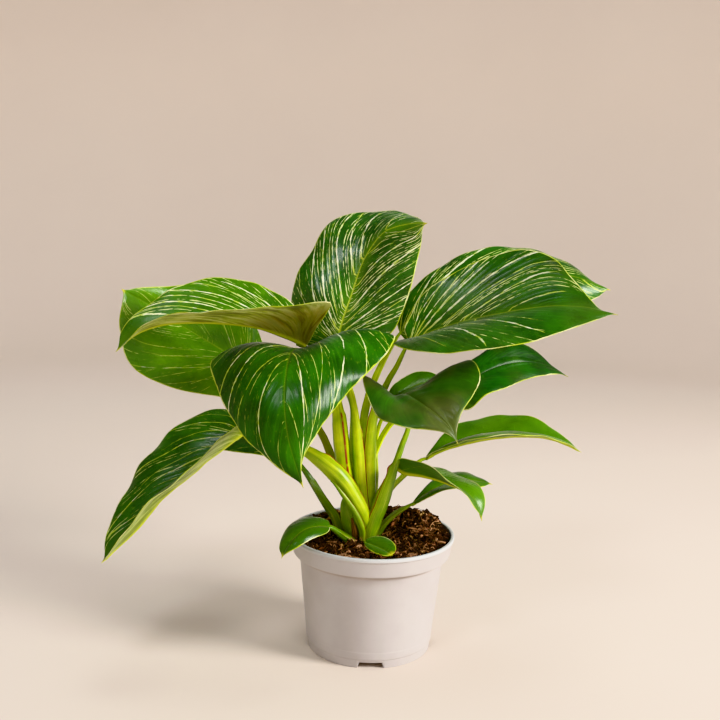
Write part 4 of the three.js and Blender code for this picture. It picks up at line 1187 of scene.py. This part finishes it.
def leaf_material(name, look, veins, seed):
    s = Surface(name, 0.33, Specular_IOR_Level=look["gloss"], Coat_Weight=0.08,
                Coat_Roughness=0.15, Sheen_Weight=0.14, Sheen_Roughness=0.4)
    vein, gap, run = s.attribute("leaf_lines")
    to_edge, to_rib, to_tip = s.attribute("leaf_reach")
    side, under, from_base = s.attribute("leaf_side")
    place = s.place()
    veined = s.plus(vein, s.scaled(side, 40, seed * 1.37))
    on_right = s.math("GREATER_THAN", side, 0)

    def by_half(key):
        left, right = look[key]
        return s.scaled(on_right, right - left, left)

    light = look["light"]
    patches = s.noise(place, 45, 3)
    deep = s.mix(light, (7, 56, 2), (68, 122, 6))
    fresh = s.mix(light, (20, 94, 4), (102, 156, 16))
    green = s.mix(s.band(patches, 0.3, 0.75), deep, fresh)
    # Thin lines of lighter tissue run along the veins, and the green pales beside the midrib.
    streak = s.streaks(veined, 3.1, run, 0.03, seed, 4, 0.6)
    green = s.coat(green, (64, 138, 12), streak, 0.5, 0.8, 0.4)
    green = s.coat(green, (5, 46, 2), streak, 0.45, 0.25, 0.45)
    green = s.coat(green, (106, 150, 24), to_rib, 8, 0.5, 0.45 * look["rib"])

    # Flecks, fine stripes and bold stripes.
    flecks = s.streaks(veined, 5, run, 0.19, seed + 9)
    reached = s.band(s.minus(s.scaled(vein, 1 / veins), by_half("until")), 0.04, -0.1)
    fine_share = s.times(by_half("fine"), reached)
    fleck = s.times(s.band(flecks, 0.64, 0.71), s.scaled(fine_share, 1.1))
    green = s.mix(fleck, green, (150, 182, 66))
    fine = fine_stripes(s, s.scaled(veined, 2), s.scaled(gap, 0.5), run, seed + 17, fine_share,
                        (0.28, 0.74))
    paler = s.mix(max(look["fine"]), (190, 208, 92), (230, 238, 168))
    green = s.mix(s.scaled(fine, 0.9), green, paler)
    bold, width = placed_stripes(s, side, run, to_rib, seed + 31)
    whiteness = s.plus(s.noise(place, 150), s.scaled(width, 0.3, look["white"]))
    cream = s.mix(s.band(whiteness, 0.36, 0.62), (186, 208, 84), (242, 244, 208))
    cream = s.coat(cream, (192, 204, 78), to_rib, 11, 2)
    green = s.mix(s.scaled(bold, look["clear"]), green, cream)

    # The midrib, the pale margin, the tip and patches of painted sheen.
    rib_half = s.scaled(s.math("MINIMUM", to_tip, 130), 0.0058, 0.14)
    green = s.coat(green, (168, 186, 48), s.minus(to_rib, rib_half), 0.22, -0.14, look["rib"])
    wobble = s.scaled(s.noise(place, 150, 3), 2.4 * look["margin"], -0.2 * look["margin"])
    margin = s.band(s.minus(to_edge, wobble), 0.22, -0.14)
    pale = s.mix(s.band(s.noise(place, 60), 0.42, 0.72), (182, 200, 56), (238, 236, 180))
    top = s.mix(s.scaled(margin, 0.95), green, pale)
    top = s.coat(top, (206, 200, 60), to_tip, 5, 1)
    # Painted sheen: brownish-grey patches on the top stand in for gloss that mirrors the backdrop at a
    # glancing angle.
    top = s.coat(top, (98, 94, 58), s.noise(place, 22), 0.4, 0.62, look["painted_sheen"])

    # The under side, paler and streaked, with a yellow midrib.
    pallor = look["pallor"]
    below = s.mix(s.band(patches, 0.25, 0.75), s.mix(pallor, (44, 92, 14), (140, 164, 32)),
                  s.mix(pallor, (70, 118, 28), (188, 202, 66)))
    fibres = s.streaks(veined, 0.9, run, 0.03, seed + 4, 4, 0.6)
    below = s.coat(below, (222, 228, 148), fibres, 0.47, 0.58, 0.8 * pallor)
    below = s.coat(below, (88, 92, 12), fibres, 0.5, 0.38, 0.75 * pallor)
    russet = s.mix(s.band(streak, 0.35, 0.7), (96, 78, 10), (158, 108, 28))
    below = s.coat(below, russet, from_base, 58, 36, look["brown"])
    below = s.mix(s.scaled(s.math("MAXIMUM", bold, fine), 0.35), below, (196, 200, 104))
    below = s.coat(below, (190, 200, 54), to_rib, 2.8, 1.2)
    below = s.mix(s.scaled(margin, 0.85), below, pale)
    colour = s.mix(under, top, below)

    # Fine ridges beside the veins and a fine grain break the gloss into streaks.
    skin = s.bump(s.streaks(veined, 6, run, 0.02, seed, 3, 0.55), 0.22, 0.6)
    skin = s.bump(s.noise(place, 1100), 0.07, 0.5, skin)
    skin = s.bump(bold, 0.05, 0.5, skin)
    rough = s.scaled(s.noise(place, 120, 3), 0.18, 0.2)
    return s.finish(colour, skin, s.plus(rough, s.scaled(under, 0.25, look["matt"])))


def petiole_material(name, seed, tones, dry, red_share):
    """A stalk's green, from its dark and bright tones. dry is how much of it has become a husk, and
    red_share how red the edges of its wings are, both from 0 to 1."""
    s = Surface(name, 0.4, Specular_IOR_Level=0.45, Coat_Weight=0.1, Coat_Roughness=0.2)
    around, run, share = s.attribute("stalk_skin")
    edge, inside, turn = s.attribute("stalk_wing")
    place = s.place()
    patches = s.noise(place, 60, 3)
    fibres = s.streaks(around, 1.7, run, 0.035, seed, 4, 0.6)
    broad = s.streaks(around, 0.22, run, 0.012, seed + 2)
    green = s.mix(s.band(patches, 0.3, 0.7), *tones)
    green = s.coat(green, (84, 132, 12), broad, 0.52, 0.34, 0.6)
    # The back of a stalk, away from its channel, is a darker green: partly its own colour, partly
    # painted shade.
    green = s.coat(green, (64, 118, 6), turn, 0.62, 0.96, 0.6)
    green = s.coat(green, (226, 230, 96), fibres, 0.5, 0.75, 0.55)
    green = s.coat(green, (96, 138, 14), fibres, 0.5, 0.3, 0.35)
    green = s.coat(green, (98, 148, 22), share, 0.68, 1, 0.65)
    green = s.mix(s.scaled(inside, 0.3), green, (150, 180, 34))
    green = s.coat(green, (214, 200, 96), run, 10, 0, 0.4)
    red = s.mix(s.noise(place, 90), (104, 22, 6), (172, 66, 24))
    broken = s.band(s.noise(s.vector(s.scaled(run, 0.1), seed, 0), 1, 3), 0.28, 0.45)
    green = s.mix(s.scaled(s.times(s.band(edge, 0.25, 0.6), broken), red_share), green, red)
    green = s.coat(green, (230, 228, 120), s.noise(place, 900, 1), 0.68, 0.75, 0.25)
    if dry:
        green = s.mix(dry, green, s.mix(s.band(fibres, 0.3, 0.7), (70, 40, 20), (150, 104, 56)))
    return s.finish(green, s.bump(fibres, 0.14, 0.5), s.scaled(patches, 0.2, 0.28 + 0.3 * dry))


def soil_material():
    s = Surface("soil", 0.95, Specular_IOR_Level=0.25)
    place = s.place()
    coarse = s.noise(place, 260, 6, 0.65)
    fine = s.noise(place, 900, 4, 0.7)
    brown = s.mix(s.band(coarse, 0.44, 0.66), (4, 3, 2), (50, 28, 20))
    brown = s.coat(brown, (120, 74, 50), fine, 0.56, 0.68, 0.6)
    brown = s.coat(brown, (160, 112, 66), s.noise(place, 430), 0.7, 0.75)
    return s.finish(brown, s.bump(coarse, 1.6, 0.7, s.bump(fine, 0.9, 0.9)))


def crumb_material():
    s = Surface("crumbs", 0.9, Specular_IOR_Level=0.3)
    tint, other, _ = s.attribute("crumb")
    grain = s.noise(s.place(), 1100, 3, 0.6)
    dark = s.mix(other, (5, 3, 2), (60, 36, 24))
    warm = s.mix(other, (156, 98, 70), (236, 186, 144))
    colour = s.mix(s.band(tint, 0.68, 0.97), dark, warm)
    colour = s.coat(colour, (196, 158, 108), tint, 0.975, 0.985)
    colour = s.coat(colour, (138, 94, 60), grain, 0.5, 0.75, 0.4)
    return s.finish(colour, s.bump(grain, 0.5, 0.8))


def pot_material():
    s = Surface("pot", 0.45, Specular_IOR_Level=0.4)
    place = s.place()
    x, y, z = s.add("SeparateXYZ", place).outputs
    mottle = s.noise(place, 24, 4, 0.6)
    grey = s.mix(s.band(mottle, 0.3, 0.7), (189, 185, 186), (197, 194, 195))
    # Painted highlight: the band along the lip is a little cooler and paler, as where it catches the
    # light.
    grey = s.coat(grey, (206, 212, 216), z, 0.0826, 0.0838, 0.7)
    # Painted shade darkens the corner under the collar.
    corner = s.times(s.band(z, 0.067, 0.0693), s.band(z, 0.0715, 0.0711))
    grey = s.mix(s.scaled(corner, 0.5), grey, (152, 128, 108))
    scuff = s.noise(place, 340, 4, 0.75)
    grey = s.coat(grey, (186, 180, 174), scuff, 0.6, 0.8, 0.1)
    low = s.times(s.band(z, 0.018, 0), s.band(s.noise(place, 90, 4), 0.45, 0.7))
    grey = s.mix(s.scaled(low, 0.16), grey, (170, 160, 150))
    # Only the collar's inner face is soiled: its radius is less there than the outer face's.
    radius = s.math("SQRT", s.plus(s.times(x, x), s.times(y, y)))
    inner = s.math("LESS_THAN", s.minus(radius, s.scaled(z, 0.177)), 0.0438)
    soiled = s.times(s.band(s.noise(place, 260, 4, 0.7), 0.45, 0.6), s.band(z, 0.0862, 0.083))
    soiled = s.times(soiled, s.times(s.band(z, 0.0705, 0.072), inner))
    grey = s.mix(s.scaled(soiled, 0.7), grey, (84, 62, 46))
    skin = s.bump(s.noise(s.vector(0, 0, z), 900), 0.05, 0.3)
    skin = s.bump(s.noise(place, 1400), 0.05, 0.4, skin)
    skin = s.bump(scuff, 0.05, 0.3, skin)
    return s.finish(grey, skin, s.scaled(s.noise(place, 220, 3), 0.16, 0.4))


def floor_material():
    s = Surface("floor", 0.75)
    place = s.place()
    tone = s.mix(s.noise(place, 3, 3), (229, 217, 206), (235, 223, 212))
    return s.finish(tone, s.bump(s.noise(place, 500), 0.2, 0.2))


# --- Studio --------------------


def stand(name, data, right, up, back, place):
    """A camera or a lamp at a place in metres. It looks away from its back."""
    thing = bpy.data.objects.new(name, data)
    bpy.context.scene.collection.objects.link(thing)
    rows = np.column_stack([right, up, back, place])
    thing.matrix_world = Matrix([*rows.tolist(), [0, 0, 0, 1]])
    return thing


def make_camera():
    pitch, roll = math.radians(CAMERA.pitch), math.radians(CAMERA.roll)
    forward = np.array([0, math.cos(pitch), -math.sin(pitch)])
    level_up = np.array([0, math.sin(pitch), math.cos(pitch)])
    level_right = np.array([1, 0, 0])
    right = math.cos(roll) * level_right + math.sin(roll) * level_up
    up = -math.sin(roll) * level_right + math.cos(roll) * level_up
    lens = bpy.data.cameras.new("camera")
    lens.lens = CAMERA.lens
    lens.sensor_width = CAMERA.sensor
    lens.clip_start = CAMERA.clip_start
    place = np.array(CAMERA.place) * MM
    bpy.context.scene.camera = stand("camera", lens, right, up, -forward, place)


def make_light(name, place, size, power, colour, mirrored):
    """A round soft lamp. One that isn't mirrored lights the plant but shows in no gloss."""
    lamp = bpy.data.lights.new(name, "AREA")
    lamp.shape = "DISK"
    lamp.size = size
    lamp.energy = power
    lamp.color = colour
    back = unit(np.array(place) - np.array(AIM))
    right = unit(np.cross([0, 0, 1.0], back))
    up = np.cross(back, right)
    light = stand(name, lamp, right, up, back, place)
    light.visible_glossy = mirrored


def make_floor(sides=96, flat=1300, curved=600, top=1300):
    """A wide round floor that curves up into a pale surround."""
    turns = np.arange(sides) * TURN / sides
    bend = np.linspace(0, math.pi / 2, 13)
    radii = [20, 600, *(flat + curved * np.sin(bend)), flat + curved]
    heights = [0, 0, *(curved - curved * np.cos(bend)), top]
    loops = np.stack([np.stack([r * np.cos(turns), r * np.sin(turns), turns * 0 + h], -1)
                      for r, h in zip(radii, heights)])
    vertices = np.vstack([loops.reshape(-1, 3), [0, 0, 0]])
    faces = [face[::-1] for face in loft(loops, start=True)]
    mesh = bpy.data.meshes.new("floor")
    mesh.from_pydata(vertices * MM, [], faces)
    mesh.shade_smooth()
    floor = bpy.data.objects.new("floor", mesh)
    bpy.context.scene.collection.objects.link(floor)
    floor.data.materials.append(floor_material())


def make_world():
    world = bpy.data.worlds.new("studio")
    world.use_nodes = True
    sky = world.node_tree.nodes["Background"].inputs
    sky["Color"].default_value = SKY_COLOUR
    sky["Strength"].default_value = SKY_STRENGTH
    bpy.context.scene.world = world


# --- Assembly --------------------

bpy.context.scene.view_settings.view_transform = "Khronos PBR Neutral"
make_camera()
make_floor()
make_world()
for name, values in LAMPS.items():
    make_light(name, *values)

for number, (name, leaf) in enumerate(LEAVES.items()):
    make_blade(name, leaf, LOOKS[name], SEED + 7 * number)
    make_petiole(name, leaf, SEED + 7 * number + 3)

for number, (name, sheath) in enumerate(SHEATHS.items()):
    seed = SEED + 200 + number
    piece = make_stalk(name + "_husk", name, sheath["route"], sheath["widths"],
                       unit(np.array(SHEATH_FACING)), SHEATH_LOOK, seed)
    dry = 1 if name == "sheath_dry" else 0
    piece.data.materials.append(petiole_material(name, seed, SHEATH_TONES, dry, 1))

crown = make_stalk("crown_stem", "crown", CROWN["route"], CROWN["widths"], np.array([0, -1, 0]),
                   CROWN_LOOK, SEED + 300)
crown.data.materials.append(petiole_material("crown", SEED + 300, CROWN_TONES, 0.35, 1))

for piece, material in (
    (make_soil(), soil_material()),
    (make_crumbs(), crumb_material()),
    (make_fibres(), crumb_material()),
):
    piece.data.materials.append(material)
    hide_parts("soil")
make_pot()
